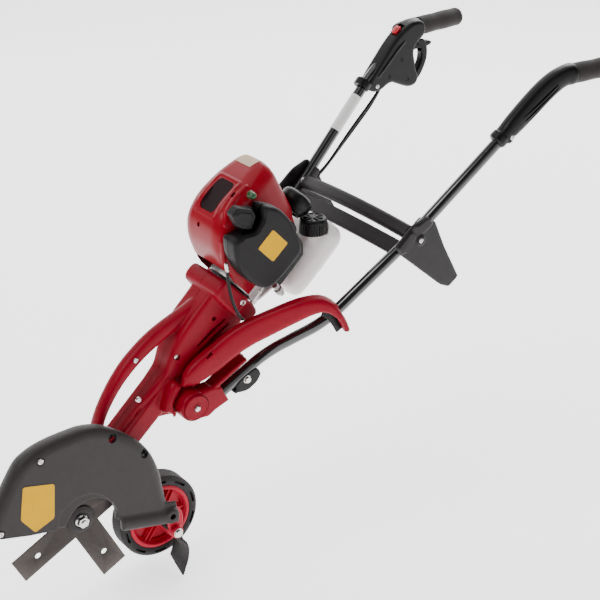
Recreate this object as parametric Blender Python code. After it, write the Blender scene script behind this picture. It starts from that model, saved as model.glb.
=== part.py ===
# Engine-driven lawn edger, modelled as an assembly of separate solids.
#
# Design coordinates are millimetres: x runs rearwards to the handles, n runs
# towards the operator's left (the blade side, -Y in the finished frame) and z
# runs up.  P() turns them into metres in the part's own frame, whose origin is
# the middle of the bottom of the whole edger's bounding box.
import math

import bpy
import bmesh
from mathutils import Vector

# ------------------------------------------------------------------ datum
DATUM_X = 245.0        # where the part's origin lies in design coordinates
DATUM_N = 0.0
DATUM_Z = -17.6
MM = 0.001

# ------------------------------------------------------------ main dimensions
HUB_X, HUB_Z = -159.0, 148.0        # blade spindle axis
DRIVE_DEG = 42.4                    # slope of the drive shaft and crankshaft
BLADE_R = 122.0                     # to the middle of each blade tip
BLADE_W = 45.0
BLADE_T = 3.0
BLADE_N = 47.0                      # middle of the blade's thickness
WHEEL_R = 72.5
WHEEL_HALF = 19.0
AXLE_X, AXLE_Z = 0.0, 73.0
ARM_PIVOT_X, ARM_PIVOT_Z = -8.0, 107.0
FOLD_X, FOLD_Z = 50.0, 282.0        # handlebar folding axis
TUBE_R = 9.5                        # 19 mm steel tube
TUBE_IN = 8.0
GRIP_R = 16.5
GAP = 0.3                           # running and mounting clearance
GEAR_TEETH, PINION_TEETH = 18, 12

CA, SA = math.cos(math.radians(DRIVE_DEG)), math.sin(math.radians(DRIVE_DEG))


def P(x, n, z):
    """Design millimetres to metres in the finished frame."""
    return Vector(((x - DATUM_X) * MM, -(n - DATUM_N) * MM, (z - DATUM_Z) * MM))


def E(t, s, n=0.0):
    """Drive-line coordinates: t along the drive shaft from the blade hub,
    s square to it (upwards), n to the left.  Gives design x, n, z."""
    return (HUB_X + t * CA - s * SA, n, HUB_Z + t * SA + s * CA)


def exz(t, s):
    q = E(t, s)
    return (q[0], q[2])


# ------------------------------------------------------------ empty the file
for ob in list(bpy.data.objects):
    bpy.data.objects.remove(ob, do_unlink=True)
for me in list(bpy.data.meshes):
    bpy.data.meshes.remove(me)


# ---------------------------------------------------------------- materials
def material(name, rgb, rough=0.5, metal=0.0):
    m = bpy.data.materials.get(name)
    if m:
        return m
    m = bpy.data.materials.new(name)
    m.use_nodes = True
    b = m.node_tree.nodes["Principled BSDF"]
    b.inputs["Base Color"].default_value = (*rgb, 1.0)
    b.inputs["Roughness"].default_value = rough
    b.inputs["Metallic"].default_value = metal
    m.diffuse_color = (*rgb, 1.0)
    return m


RED = ("red_moulding", (0.42, 0.010, 0.022), 0.42, 0.0)
GLOSS_RED = ("gloss_red", (0.55, 0.008, 0.018), 0.18, 0.0)
RIM_RED = ("rim_red", (0.62, 0.020, 0.045), 0.4, 0.0)
GREY = ("warm_grey", (0.085, 0.072, 0.075), 0.5, 0.0)
BLACK = ("black_plastic", (0.018, 0.016, 0.017), 0.45, 0.0)
TUBE_BLACK = ("black_enamel", (0.012, 0.010, 0.010), 0.15, 0.0)
GRIP = ("grip_rubber", (0.022, 0.016, 0.016), 0.75, 0.0)
RUBBER = ("rubber", (0.02, 0.018, 0.018), 0.85, 0.0)
TYRE = ("tyre_rubber", (0.04, 0.036, 0.036), 0.8, 0.0)
STEEL = ("bright_steel", (0.62, 0.61, 0.60), 0.3, 1.0)
DARK_STEEL = ("dark_steel", (0.075, 0.06, 0.058), 0.55, 0.3)
ALUMINIUM = ("cast_aluminium", (0.52, 0.49, 0.49), 0.45, 1.0)
TANK = ("tank_plastic", (0.75, 0.70, 0.68), 0.4, 0.0)
GREEN = ("primer_green", (0.05, 0.16, 0.06), 0.3, 0.0)


# ---------------------------------------------------------------- mesh tools
def to_object(name, bm, mat, origin=None):
    """Close, orient and store a bmesh whose vertices are in design mm."""
    for v in bm.verts:
        v.co = P(v.co.x, v.co.y, v.co.z)
    bmesh.ops.remove_doubles(bm, verts=bm.verts, dist=0.00002)
    bmesh.ops.recalc_face_normals(bm, faces=bm.faces)
    me = bpy.data.meshes.new(name)
    bm.to_mesh(me)
    bm.free()
    ob = bpy.data.objects.new(name, me)
    bpy.context.scene.collection.objects.link(ob)
    me.materials.append(material(*mat))
    if origin is not None:
        place_origin(ob, origin)
    return ob


def place_origin(ob, point):
    """Put an object's origin on its joint's axis without moving its shape."""
    c = P(*point)
    for v in ob.data.vertices:
        v.co -= c
    ob.location = c


def smooth(ob, deg=35):
    ob.data.shade_smooth()
    ob.data.set_sharp_from_angle(angle=math.radians(deg))
    return ob


def loft(loops, closed=False):
    """Skin equal-length loops of (x, n, z); caps the ends unless closed."""
    bm = bmesh.new()
    rows = [[bm.verts.new(p) for p in lp] for lp in loops]
    k = len(rows[0])
    pairs = list(zip(rows, rows[1:]))
    if closed:
        pairs.append((rows[-1], rows[0]))
    for a, b in pairs:
        for i in range(k):
            bm.faces.new((a[i], a[(i + 1) % k], b[(i + 1) % k], b[i]))
    if not closed:
        bm.faces.new(rows[0])
        bm.faces.new(rows[-1])
    return bm


def area2(poly):
    return sum(a[0] * b[1] - b[0] * a[1] for a, b in zip(poly, poly[1:] + poly[:1]))


def offset(poly, d):
    """Grow (d > 0) or shrink a polygon of (x, z) by d along mitred normals."""
    if area2(poly) < 0:
        poly = poly[::-1]
    out = []
    k = len(poly)
    for i in range(k):
        a, b, c = poly[i - 1], poly[i], poly[(i + 1) % k]
        u = Vector((b[0] - a[0], b[1] - a[1])).normalized()
        w = Vector((c[0] - b[0], c[1] - b[1])).normalized()
        n1, n2 = Vector((u.y, -u.x)), Vector((w.y, -w.x))
        m = n1 + n2
        if m.length < 1e-6:
            m = n1
        m.normalize()
        ln = d / max(0.5, m.dot(n1))
        out.append((b[0] + m.x * ln, b[1] + m.y * ln))
    return out


def prism(poly, layers):
    """Stack copies of an (x, z) outline at several n; layers are (n, grow)."""
    return loft([[(x, n, z) for x, z in offset(poly, g)] for n, g in layers])


def plate(poly, n0, n1, c0=0.0, c1=0.0):
    """Extruded outline from n0 to n1 with chamfers c0 and c1 at its ends."""
    sgn = 1 if n1 > n0 else -1
    layers = []
    layers += [(n0, -c0), (n0 + sgn * c0, 0)] if c0 else [(n0, 0)]
    layers += [(n1 - sgn * c1, 0), (n1, -c1)] if c1 else [(n1, 0)]
    return prism(poly, layers)


def circle(cx, cz, r, k, start=0.0):
    return [(cx + r * math.cos(math.radians(start) + 2 * math.pi * i / k),
             cz + r * math.sin(math.radians(start) + 2 * math.pi * i / k)) for i in range(k)]


def arc(cx, cz, r, a0, a1, k):
    return [(cx + r * math.cos(math.radians(a0 + (a1 - a0) * i / k)),
             cz + r * math.sin(math.radians(a0 + (a1 - a0) * i / k))) for i in range(k + 1)]


def frame_for(d):
    d = Vector(d).normalized()
    a = Vector((0, 0, 1)) if abs(d.z) < 0.9 else Vector((1, 0, 0))
    u = d.cross(a).normalized()
    return d, u, u.cross(d)


def lathe(profile, origin, axis, segs, tooth=None, phase=0.0):
    """Turn (r, h) pairs about an axis.  A profile that does not start and end
    at r = 0 is a closed ring.  tooth(i, h, r) scales r to cut simple teeth."""
    d, u, w = frame_for(axis)
    o = Vector(origin)
    solid = profile[0][0] < 1e-6 and profile[-1][0] < 1e-6
    bm = bmesh.new()
    rows = []
    for r, h in profile:
        if r < 1e-6:
            rows.append([bm.verts.new(o + d * h)])
            continue
        row = []
        for i in range(segs):
            rr = r * (tooth(i, h, r) if tooth else 1.0)
            ang = 2 * math.pi * (i + phase) / segs
            row.append(bm.verts.new(o + d * h + (u * math.cos(ang) + w * math.sin(ang)) * rr))
        rows.append(row)
    pairs = list(zip(rows, rows[1:]))
    if not solid:
        pairs.append((rows[-1], rows[0]))
    for a, b in pairs:
        for i in range(segs):
            j = (i + 1) % segs
            if len(a) == 1 and len(b) == 1:
                continue
            if len(a) == 1:
                bm.faces.new((a[0], b[j], b[i]))
            elif len(b) == 1:
                bm.faces.new((a[i], a[j], b[0]))
            else:
                bm.faces.new((a[i], a[j], b[j], b[i]))
    return bm


def rounded_path(points, radius, steps):
    """Polyline with its corners replaced by smooth quadratic bends."""
    pts = [Vector(p) for p in points]
    out = [pts[0]]
    for a, b, c in zip(pts, pts[1:], pts[2:]):
        r = min(radius, (b - a).length * 0.45, (c - b).length * 0.45)
        p0, p2 = b + (a - b).normalized() * r, b + (c - b).normalized() * r
        for i in range(steps + 1):
            f = i / steps
            out.append((1 - f) ** 2 * p0 + 2 * f * (1 - f) * b + f * f * p2)
    out.append(pts[-1])
    return out


def sweep(path, radii, segs, inner=None):
    """Round (or elliptical) bar along a path; with inner it is a tube."""
    pts = [Vector(p) for p in path]
    k = len(pts)
    if not isinstance(radii, (list, tuple)):
        radii = [radii] * k
    tang = [(pts[min(i + 1, k - 1)] - pts[max(i - 1, 0)]).normalized() for i in range(k)]
    up = Vector((0, 0, 1))
    u = (up - tang[0] * up.dot(tang[0])).normalized()
    frames = []
    for t in tang:
        u = (u - t * u.dot(t)).normalized()
        frames.append((u.copy(), t.cross(u)))

    def rows(shrink):
        res = []
        for p, (a, b), r in zip(pts, frames, radii):
            ra, rb = (r if isinstance(r, (list, tuple)) else (r, r))
            if shrink is not None:
                ra = rb = shrink
            res.append([p + a * (ra * math.cos(2 * math.pi * i / segs))
                        + b * (rb * math.sin(2 * math.pi * i / segs)) for i in range(segs)])
        return res
    if inner is None:
        return loft(rows(None))
    return loft(rows(None) + rows(inner)[::-1], closed=True)


def box(t0, t1, s0, s1, n0, n1):
    """Box in drive-line coordinates."""
    poly = [exz(t0, s0), exz(t1, s0), exz(t1, s1), exz(t0, s1)]
    return plate(poly, n0, n1)


def rod(cx, cz, r, n0, n1, segs=16):
    """Cylinder across the machine."""
    return plate(circle(cx, cz, r, segs), n0, n1)


def boolean(ob, bm, kind):
    """Union or difference with a bmesh in design mm, applied at once."""
    tool = to_object("tool", bm, BLACK)
    tool.hide_render = True
    tool.display_type = 'WIRE'
    mod = ob.modifiers.new("b", 'BOOLEAN')
    mod.operation = kind
    mod.solver = 'EXACT'
    mod.object = tool
    dg = bpy.context.evaluated_depsgraph_get()
    me = bpy.data.meshes.new_from_object(ob.evaluated_get(dg))
    ob.modifiers.clear()
    old = ob.data
    ob.data = me
    me.name = ob.name
    bpy.data.meshes.remove(old)
    bpy.data.objects.remove(tool, do_unlink=True)
    bm2 = bmesh.new()
    bm2.from_mesh(ob.data)
    bmesh.ops.remove_doubles(bm2, verts=bm2.verts, dist=0.00002)
    bmesh.ops.dissolve_limit(bm2, angle_limit=math.radians(0.5), verts=bm2.verts, edges=bm2.edges)
    bmesh.ops.triangulate(bm2, faces=bm2.faces)
    bm2.to_mesh(ob.data)
    bm2.free()
    ob.data.materials.clear()
    return ob


def build(name, mat, first, add=(), cut=(), origin=None):
    """One solid from a first shape, shapes added to it and shapes cut away."""
    ob = to_object(name, first, mat)
    for bm in add:
        boolean(ob, bm, 'UNION')
    for bm in cut:
        boolean(ob, bm, 'DIFFERENCE')
    if not ob.data.materials:
        ob.data.materials.append(material(*mat))
    if origin is not None:
        place_origin(ob, origin)
    return smooth(ob)


def mirrored(poly_layers):
    return [(-n, g) for n, g in poly_layers]


HUB = (HUB_X, 0.0, HUB_Z)
SIDE = (0, 1, 0)                       # the n direction in design coordinates
DRIVE = (CA, 0.0, SA)

# =================================================================== blade
cross = []
for k in range(4):
    a = math.radians(26.5 + 90 * k)
    for x, z in ((BLADE_W / 2, -BLADE_W / 2), (BLADE_R, -BLADE_W / 2), (BLADE_R, BLADE_W / 2)):
        cross.append((HUB_X + x * math.cos(a) - z * math.sin(a),
                      HUB_Z + x * math.sin(a) + z * math.cos(a)))
holes = []
for k in range(4):
    a = math.radians(26.5 + 90 * k)
    holes.append(rod(HUB_X + 84 * math.cos(a), HUB_Z + 84 * math.sin(a), 4.6, 40, 55, 10))
build("blade", DARK_STEEL, plate(cross, BLADE_N - BLADE_T / 2, BLADE_N + BLADE_T / 2),
      cut=[rod(HUB_X, HUB_Z, 10.35, 40, 55, 20)] + holes, origin=(HUB_X, BLADE_N, HUB_Z))

# spindle with its crown gear, shoulder flange and threaded end
def gear_teeth(i, h, r):
    return (1.0 if i % 2 else 0.90) if h < -5.9 and h > -13.9 else 1.0


ob = to_object("blade_spindle", lathe(
    [(0, -17.5), (6, -17.5), (6, -14), (15.2, -13.8), (15.6, -11.9), (8.6, -6.4), (6, -5.8), (6, 11),
     (9.9, 11.5), (9.9, 40), (22, 40.5), (22, 45.1), (10, 45.2), (10, 48.3), (5, 48.5), (5, 64), (0, 64)],
    HUB, SIDE, GEAR_TEETH * 2, gear_teeth), STEEL, origin=HUB)
smooth(ob)
ob = to_object("blade_washer", lathe(
    [(5.35, 48.85), (23.5, 48.85), (23.5, 51.2), (20, 52.6), (13, 53.2), (12, 51.6), (5.35, 51.6)],
    HUB, SIDE, 24), DARK_STEEL, origin=HUB)
smooth(ob)
ob = to_object("blade_nut", lathe(
    [(5.35, 52.0), (10.2, 52.0), (10.2, 54.2), (8.6, 54.6), (8.6, 61.0), (7.4, 62.2), (5.35, 62.2)],
    HUB, SIDE, 6 * 2), STEEL, origin=HUB)

# ================================================================ gearbox
build("gearbox_housing", ALUMINIUM,
      lathe([(0, -25), (22, -25), (29, -20), (29, 21.4), (0, 21.4)], HUB, SIDE, 20),
      add=[lathe([(0, 16), (18.5, 16), (18.5, 66), (0, 66)], HUB, DRIVE, 16)],
      cut=[lathe([(0, -19.5), (24, -19.5), (24, 30), (0, 30)], HUB, SIDE, 20),
           lathe([(0, 4), (12.4, 4), (12.4, 80), (0, 80)], HUB, DRIVE, 16)])
ob = to_object("gearbox_cover", lathe(
    [(10.4, 14), (23.6, 14), (23.6, 20.9), (10.4, 20.9)], HUB, SIDE, 20), ALUMINIUM)
smooth(ob)

# ============================================================ drive line
ob = to_object("drive_tube", lathe([(10, 42), (12, 42), (12, 411), (10, 411)], HUB, DRIVE, 16), STEEL)
smooth(ob)


def pinion_teeth(i, h, r):
    return (1.0 if i % 2 else 0.86) if 9.0 < h < 17.4 else 1.0


ob = to_object("drive_shaft", lathe(
    [(0, 9.4), (5.6, 9.5), (10.4, 16.9), (9.6, 17.3), (7.5, 17.6), (7.5, 24), (4, 24.5), (4, 418.6), (0, 418.6)],
    HUB, DRIVE, PINION_TEETH * 2, pinion_teeth), STEEL, origin=HUB)
smooth(ob)
ob = to_object("clutch_drum", lathe(
    [(4.3, 413.5), (9, 413.5), (9, 416), (29, 416), (29, 437.5), (27, 437.5), (27, 419), (4.3, 419)],
    HUB, DRIVE, 20), DARK_STEEL, origin=HUB)
smooth(ob)
ob = to_object("clutch_shoes", lathe(
    [(5.3, 421), (25, 421), (25.5, 423), (25.5, 434.5), (25, 436), (5.3, 436)], HUB, DRIVE, 20),
    DARK_STEEL, origin=HUB)
smooth(ob)
ob = to_object("crankshaft", lathe(
    [(0, 420.5), (5, 420.5), (5, 440.4), (8, 440.6), (8, 573), (6, 574), (6, 580), (0, 580)], HUB, DRIVE, 12),
    STEEL, origin=HUB)
smooth(ob)
fan_ribs = []
for k in range(8):
    a = 2 * math.pi * k / 8
    ca, sa = math.cos(a), math.sin(a)
    cs = []
    for rr, ww in ((16, -1.2), (39, -1.2), (39, 1.2), (16, 1.2)):
        s, n = rr * ca - ww * sa, rr * sa + ww * ca
        cs.append((s, n))
    fan_ribs.append(loft([[E(444, s, n) for s, n in cs], [E(451.5, s, n) for s, n in cs]]))
build("flywheel", ALUMINIUM,
      lathe([(8.35, 441.5), (15, 441.5), (15, 450.5), (40, 451), (40, 458), (8.35, 458)], HUB, DRIVE, 20),
      add=fan_ribs, origin=HUB)

# ================================================================ chassis
lower_limb = [exz(t, s) for t, s in
              ((70, -22), (150, -24), (202, -29), (240, -34), (330, -34), (330, 18.5), (70, 18.5))]
upper_out = [(381, 47), (360, 54), (320, 69), (290, 78), (258, 82.5), (225, 83), (190, 77.5), (160, 69), (137, 60),
             (112, 47), (88, 32), (74, 20)]
upper_in = [(74, 2), (98, 14), (122, 31), (144, 46), (175, 56), (211, 61), (253, 59), (294, 49.5), (318, 42), (345, 30)]
upper_limb = [exz(t, s) for t, s in upper_out + upper_in + [(380, 30)]]
body = [exz(t, s) for t, s in
        ((200, -26), (210, -40), (217, -56), (230, -66), (250, -68), (270, -62), (287, -50), (335, -47), (385, -42),
         (406, -37), (406, 46), (381, 47), (345, 47), (318, 41), (316, 16), (200, 16))]
flange = [exz(t, s) for t, s in
          ((400, -30), (408, -38), (431.5, -38), (431.5, 50), (424, 57), (404, 57), (398, 48))]
bulge = [exz(t, s) for t, s in ((148, -20), (205, -25), (255, -24), (276, -12), (278, -2), (268, 6), (148, 6))]
ear = circle(FOLD_X, FOLD_Z, 26, 20)
lobe = [(2, 276), (14, 273), (26, 263)] + arc(FOLD_X, FOLD_Z, 28.3, 218, 112, 6) + [(36, 322), (20, 324)]


def chassis_half(name, sg):
    def pl(poly, a, b, c):
        return plate(poly, sg * a, sg * b, 0, c)
    drive_bore = lathe([(0, 60), (12.4, 60), (12.4, 402), (33, 403), (33, 425), (47, 426), (47, 440), (0, 440)],
                       HUB, DRIVE, 16)
    hollow = plate([exz(t, s) for t, s in ((300, -40), (392, -34), (392, 40), (330, 38), (322, 14), (300, 14))],
                   -sg * 5, sg * 25)
    return build(name, RED, pl(lower_limb, 0.15, 18, 5),
                 add=[pl(upper_limb, 0.15, 12.5, 4), pl(body, 0.15, 30, 7), pl(flange, 0.15, 48, 5),
                      pl(bulge, 5.15, 23, 3), pl(ear, 0.25, 30.6, 2), pl(lobe, 6.15, 44, 8)],
                 cut=[hollow, drive_bore, rod(FOLD_X, FOLD_Z, 5.35, sg * -5, sg * 40, 12)])


chassis_half("chassis_left_shell", 1)
chassis_half("chassis_right_shell", -1)

# chassis screws in the left shell
for nm, (x, z), n0 in (("chassis_screw_upper", (38, 360), 30.4), ("chassis_screw_lower", (-27, 301), 23.4)):
    ob = to_object(nm, lathe([(0, n0), (4.2, n0), (4.2, n0 + 1.8), (3, n0 + 3), (0, n0 + 3)], (x, 0, z), SIDE, 10), STEEL)
    smooth(ob)

# =================================================================== guard
guard = [(-311, 182), (-312, 198), (-306, 216), (-289, 244), (-263, 283), (-244, 297), (-222, 305), (-199, 309),
         (-172, 311), (-146, 311), (-117, 303.5), (-86, 284), (-57, 259), (-38.5, 234), (-28.5, 212), (-21, 187),
         (-16.5, 160), (-12, 136), (-5, 123),
         (2, 117), (6, 107), (2, 97), (-8, 92), (-57, 103), (-97, 112),
         (-99, 140), (-110, 168), (-126, 188), (-146, 200), (-170, 201), (-191, 192), (-202, 180), (-207, 158),
         (-253, 166), (-300, 178)]
cav_top = [(-307, 170), (-308.5, 198), (-302.5, 215), (-286, 242), (-260, 280), (-242, 293.5), (-221, 301.5), (-199, 305.5),
           (-172, 307), (-147, 306.8), (-119, 299.5), (-89, 281), (-60.5, 256.5), (-42.5, 232), (-32.5, 210), (-25, 186),
           (-20.5, 158), (-20, 80)]
cavity = cav_top + [(-97, 60), (-207, 60), (-307, 120)]
tail = [(-96, 112), (-96, 140), (-60, 138), (-20, 128), (-4, 118), (6, 107), (2, 97), (-8, 92), (-57, 103)]
rim_out = arc(-150, 150, 62, 174, -22, 12)
rim_in = arc(-148, 143, 44, -10, 164, 12)
arch_rim = rim_out + rim_in
build("guard_outer_shell", GREY, prism(guard, [(28, -13), (44, -1.5), (62, 0), (69, -6)]),
      add=[plate(arch_rim, 58.5, 66.5), plate(tail, 60, 74, 0, 6)],
      cut=[prism(cavity, [(20, -13), (28.5, -13), (44, -1.5), (65.5, 0)]),
           plate([(-98.5, 70), (-98.5, 137), (-24, 122), (-24, 70)], 20, 70.5),
           rod(-104, 282, 4.6, 55, 80, 10), rod(-49, 235, 4.6, 55, 80, 10), rod(-8, 107, 4.6, 20, 80, 12),
           plate(arc(ARM_PIVOT_X, ARM_PIVOT_Z, 40, -80, 50, 6) + [(-30, 150), (-60, 100), (-60, 70)], 20, 63.5)])
back_plate = [(-290, 200), (-272, 236), (-250, 264), (-218, 284), (-172, 288), (-142, 282), (-114, 267),
              (-86, 242), (-64, 212), (-50, 180), (-47, 160), (-60, 153), (-96, 156), (-118, 160), (-126, 138),
              (-134, 124), (-147, 115), (-159, 113), (-171, 115), (-184, 124), (-192, 138), (-200, 166),
              (-236, 176), (-270, 183)]
build("guard_back_plate", GREY, plate(back_plate, 22, 27.6),
      cut=[rod(HUB_X, HUB_Z, 26, 10, 40, 24)])
for nm, (x, z) in (("guard_screw_upper", (-226, 287)), ("guard_screw_lower", (-298, 187))):
    ob = to_object(nm, lathe([(0, 69.35), (4.4, 69.35), (4.4, 71), (3, 72.4), (0, 72.4)], (x, 0, z), SIDE, 10), STEEL)
    smooth(ob)

# ============================================================ ground wheel
def stadium(ax, az, bx, bz, r, k=8):
    d = Vector((bx - ax, bz - az))
    a = math.degrees(math.atan2(d.y, d.x))
    return arc(ax, az, r, a + 90, a + 270, k) + arc(bx, bz, r, a - 90, a + 90, k)


lever = stadium(ARM_PIVOT_X, ARM_PIVOT_Z, AXLE_X, AXLE_Z, 11.0)
build("wheel_arm", RIM_RED, plate(lever, 57.5, 63, 0, 1.5),
      add=[plate(lever, 20.6, 24.6), rod(ARM_PIVOT_X, ARM_PIVOT_Z, 9, 21, 62, 14),
           plate(circle(AXLE_X, AXLE_Z, 10.5, 16), 58, 74, 0, 1.5)],
      cut=[rod(ARM_PIVOT_X, ARM_PIVOT_Z, 4.3, 10, 90, 12), rod(AXLE_X, AXLE_Z, 5.3, 10, 90, 12)],
      origin=(ARM_PIVOT_X, 40, ARM_PIVOT_Z))
ob = to_object("wheel_axle", lathe(
    [(0, -26), (8, -26), (8, -20.5), (5, -20.3), (5, 74.4), (6.4, 74.5), (6.4, 78), (5, 80), (0, 80)],
    (AXLE_X, 0, AXLE_Z), SIDE, 12), STEEL, origin=(AXLE_X, 0, AXLE_Z))
smooth(ob)
ob = to_object("wheel_arm_bolt", lathe(
    [(0, 20.2), (4, 20.2), (4, 67.3), (0, 67.3)], (ARM_PIVOT_X, 0, ARM_PIVOT_Z), SIDE, 12), BLACK)
smooth(ob)

flap_line = [(4, 66.5), (9, 60), (17, 45), (21, 29), (19, 12), (14, -2)]


def flap_loop(n, line, half):
    """Outline of the sheet at one n: the line thickened by half on each side."""
    left, right = [], []
    for i, (x, z) in enumerate(line):
        a, b = line[max(i - 1, 0)], line[min(i + 1, len(line) - 1)]
        d = Vector((b[0] - a[0], b[1] - a[1])).normalized()
        left.append((x - d.y * half, n, z + d.x * half))
        right.append((x + d.y * half, n, z - d.x * half))
    return left + right[::-1]


build("rubber_flap", RUBBER,
      loft([flap_loop(n, flap_line[2:] + [(14 - d * 0.35, -2 - d)], 1.8)
            for n, d in ((22.5, 1), (40, 6), (56, 11), (70, 15))]),
      add=[loft([flap_loop(n, [(3, 68), (8.5, 60), (16, 46), (20.6, 32)], 2.6) for n in (25.2, 57.0)]),
           rod(AXLE_X, AXLE_Z, 9, 25.4, 56.8, 14)],
      cut=[rod(AXLE_X, AXLE_Z, 5.35, 10, 90, 12)], origin=(AXLE_X, 40, AXLE_Z))

ob = to_object("tyre", lathe(
    [(57, -17), (64, -19), (69, -17.5), (WHEEL_R, -13), (WHEEL_R, 13), (69, 17.5), (64, 19), (57, 17)],
    (AXLE_X, 0, AXLE_Z), SIDE, 28, phase=0.5), TYRE, origin=(AXLE_X, 0, AXLE_Z))
smooth(ob)
windows = []
for k in range(6):
    a0 = 60 * k + 12
    w = arc(AXLE_X, AXLE_Z, 22, a0 + 2, a0 + 30, 3) + arc(AXLE_X, AXLE_Z, 45, a0 + 38, a0 - 6, 4)
    windows.append(plate(w, 4.6, 30))
build("wheel_rim", RIM_RED, lathe(
    [(5.4, -16), (13, -16), (13, 4), (48, 2), (50, -15), (56.4, -16.5), (56.4, 17), (50, 18.5), (47, 10), (13, 12),
     (13, 18.8), (5.4, 18.8)], (AXLE_X, 0, AXLE_Z), SIDE, 28, phase=0.5), cut=windows, origin=(AXLE_X, 0, AXLE_Z))

# ================================================================= engine
def section(t, n0, n1, s0, s1, r, k=3):
    """Rounded rectangle across the drive line, as a loop of points."""
    pts = []
    for cn, cs, a0 in ((n1 - r, s1 - r, 0), (n0 + r, s1 - r, 90), (n0 + r, s0 + r, 180), (n1 - r, s0 + r, 270)):
        for i in range(k + 1):
            a = math.radians(a0 + 90 * i / k)
            pts.append(E(t, cs + r * math.sin(a), cn + r * math.cos(a)))
    return pts


def tapered(q, k=3):
    """Section of the engine cover, whose rear end leans forwards lower down."""
    w = max(0.0, min(1.0, (q[0] - 540) / 68.0))
    pts = []
    for cn, cs, a0 in ((q[2] - q[5], q[4] - q[5], 0), (q[1] + q[5], q[4] - q[5], 90),
                       (q[1] + q[5], q[3] + q[5], 180), (q[2] - q[5], q[3] + q[5], 270)):
        for i in range(k + 1):
            a = math.radians(a0 + 90 * i / k)
            s = cs + q[5] * math.sin(a)
            pts.append(E(q[0] - 0.27 * w * max(0.0, 113 - s), s, cn + q[5] * math.cos(a)))
    return pts


hood = [(436, -52, 49.5, -36, 50, 18), (445, -57, 50, -40, 78, 24), (458, -59, 50, -42, 104, 26),
        (480, -61, 50, -42, 124, 26), (512, -61, 50, -42, 133, 26), (548, -60, 49, -40, 131, 26),
        (580, -58, 36, -30, 124, 26), (608, -56, 26, -20, 113, 26), (616, -50, 19, -16, 104, 22)]
inner_hood = [(430, -49, 46.3, -60, 46, 14)] + [(t + 1, a + 3.5, b - 3.5, -60, d - 3.5, r - 3)
                                              for t, a, b, c, d, r in hood[1:7]] + [(612, -50, 20, -60, 106, 20)]
build("engine_cover", GLOSS_RED, loft([tapered(q) for q in hood]),
      cut=[loft([tapered(q) for q in inner_hood]), box(580, 640, 32, 97, -48, 2),
           lathe([(0, 560), (28.4, 560), (28.4, 640), (0, 640)], HUB, DRIVE, 24),
           box(486, 534, 34, 86, 30, 60), box(508, 536, 88, 118, 36, 60),
           box(425, 470, -60, 4, 12, 60)])
fins = [box(484 - 3, 544 + 3, s, s + 2.2, -37, 29) for s in (52, 60, 68, 76, 84, 92)]
build("crankcase", ALUMINIUM, loft([section(462, -36, 36, -42, 42, 12, 2), section(546, -36, 33, -42, 42, 12, 2),
                                    section(556, -34, 26, -40, 40, 12, 2)]),
      add=[box(486, 542, 30, 104, -34, 26),
           lathe([(0, 434), (45.5, 434), (45.5, 464), (0, 464)], HUB, DRIVE, 20)] + fins,
      cut=[lathe([(0, 425), (42, 425), (42, 461), (8.4, 461.3), (8.4, 700), (0, 700)], HUB, DRIVE, 20)])
build("recoil_housing", BLACK,
      lathe([(0, 586), (19.5, 586), (27.5, 600), (27.5, 612), (24.5, 617), (16, 619.5), (0, 619.5)], HUB, DRIVE, 24),
      cut=[lathe([(0, 580), (16.5, 580), (16.5, 587), (24.5, 601), (24.5, 611), (22, 614), (14, 616.5), (0, 616.5)], HUB, DRIVE, 24),
           lathe([(0, -70), (2.8, -70), (2.8, -20), (0, -20)], E(606, 0, 0), SIDE, 8)])
grip_bar = sweep([E(606, -17, -58), E(606, -13, -58), E(606, 0, -59), E(606, 13, -58), E(606, 17, -58)],
                 [3.2, 5.2, 5.6, 5.2, 3.2], 10)
build("starter_grip", BLACK, grip_bar,
      add=[lathe([(0, -57), (2.2, -57), (2.2, 22), (0, 22)], E(606, 0, 0), SIDE, 8),
           lathe([(0, -57), (4.6, -56.5), (3.6, -48.5), (0, -48.5)], E(606, 0, 0), SIDE, 8)],
      origin=E(606, 0, -56))
build("muffler", DARK_STEEL, loft([section(568, -46, -8, 37, 90, 8, 2), section(590, -44, -6, 36, 92, 9, 2),
                                   section(596, -40, -8, 46, 86, 9, 2)]))
cleaner = [exz(t, s) for t, s in
           ((551, 116), (563, 90), (563, 58), (547, 8), (534, -1), (488, 1), (462, 6), (450, 24), (448, 69),
            (458, 98), (478, 122), (500, 104), (514, 92), (536, 101))]
build("air_cleaner_case", BLACK, plate(offset(cleaner, -2), 50.6, 62),
      cut=[plate(offset([exz(t, s) for t, s in ((505, 110), (511, 122), (528, 131), (540, 121), (538, 108), (515, 97))],
                        0.6), 45, 80)])
build("air_cleaner_cover", BLACK, prism(cleaner, [(62.4, 0), (80, 0), (86, -4), (88.5, -12)]),
      cut=[prism(offset(cleaner, -3), [(60, 0), (79, -1), (84, -6)])], origin=E(470, 3, 62.4))
build("carburetor", ALUMINIUM, box(490, 530, 40, 80, 29.4, 50.2))
boot = [exz(t, s) for t, s in ((505, 110), (511, 122), (528, 131), (540, 121), (538, 108), (515, 97))]
build("spark_plug_boot", GREY, plate(boot, 52.6, 68, 0, 4), add=[box(514, 530, 104.6, 114, 32, 54)])
ob = to_object("primer_bulb", lathe([(0, 50.6), (6.5, 50.6), (6.5, 56), (5, 61), (0, 63.5)],
                                   E(553, 124, 0), SIDE, 12), GREEN)
smooth(ob)
cap_c = (308.0, 20.0)                      # x, n of the filler's upright axis
tank_loops = [section(486, -50, 36, -98, -52, 16), section(492, -56, 42, -104, -48, 20),
              section(520, -58, 44, -107, -47, 24), section(584, -58, 44, -107, -47, 24),
              section(606, -56, 42, -104, -50, 22), section(616, -48, 34, -94, -58, 16)]
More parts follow.
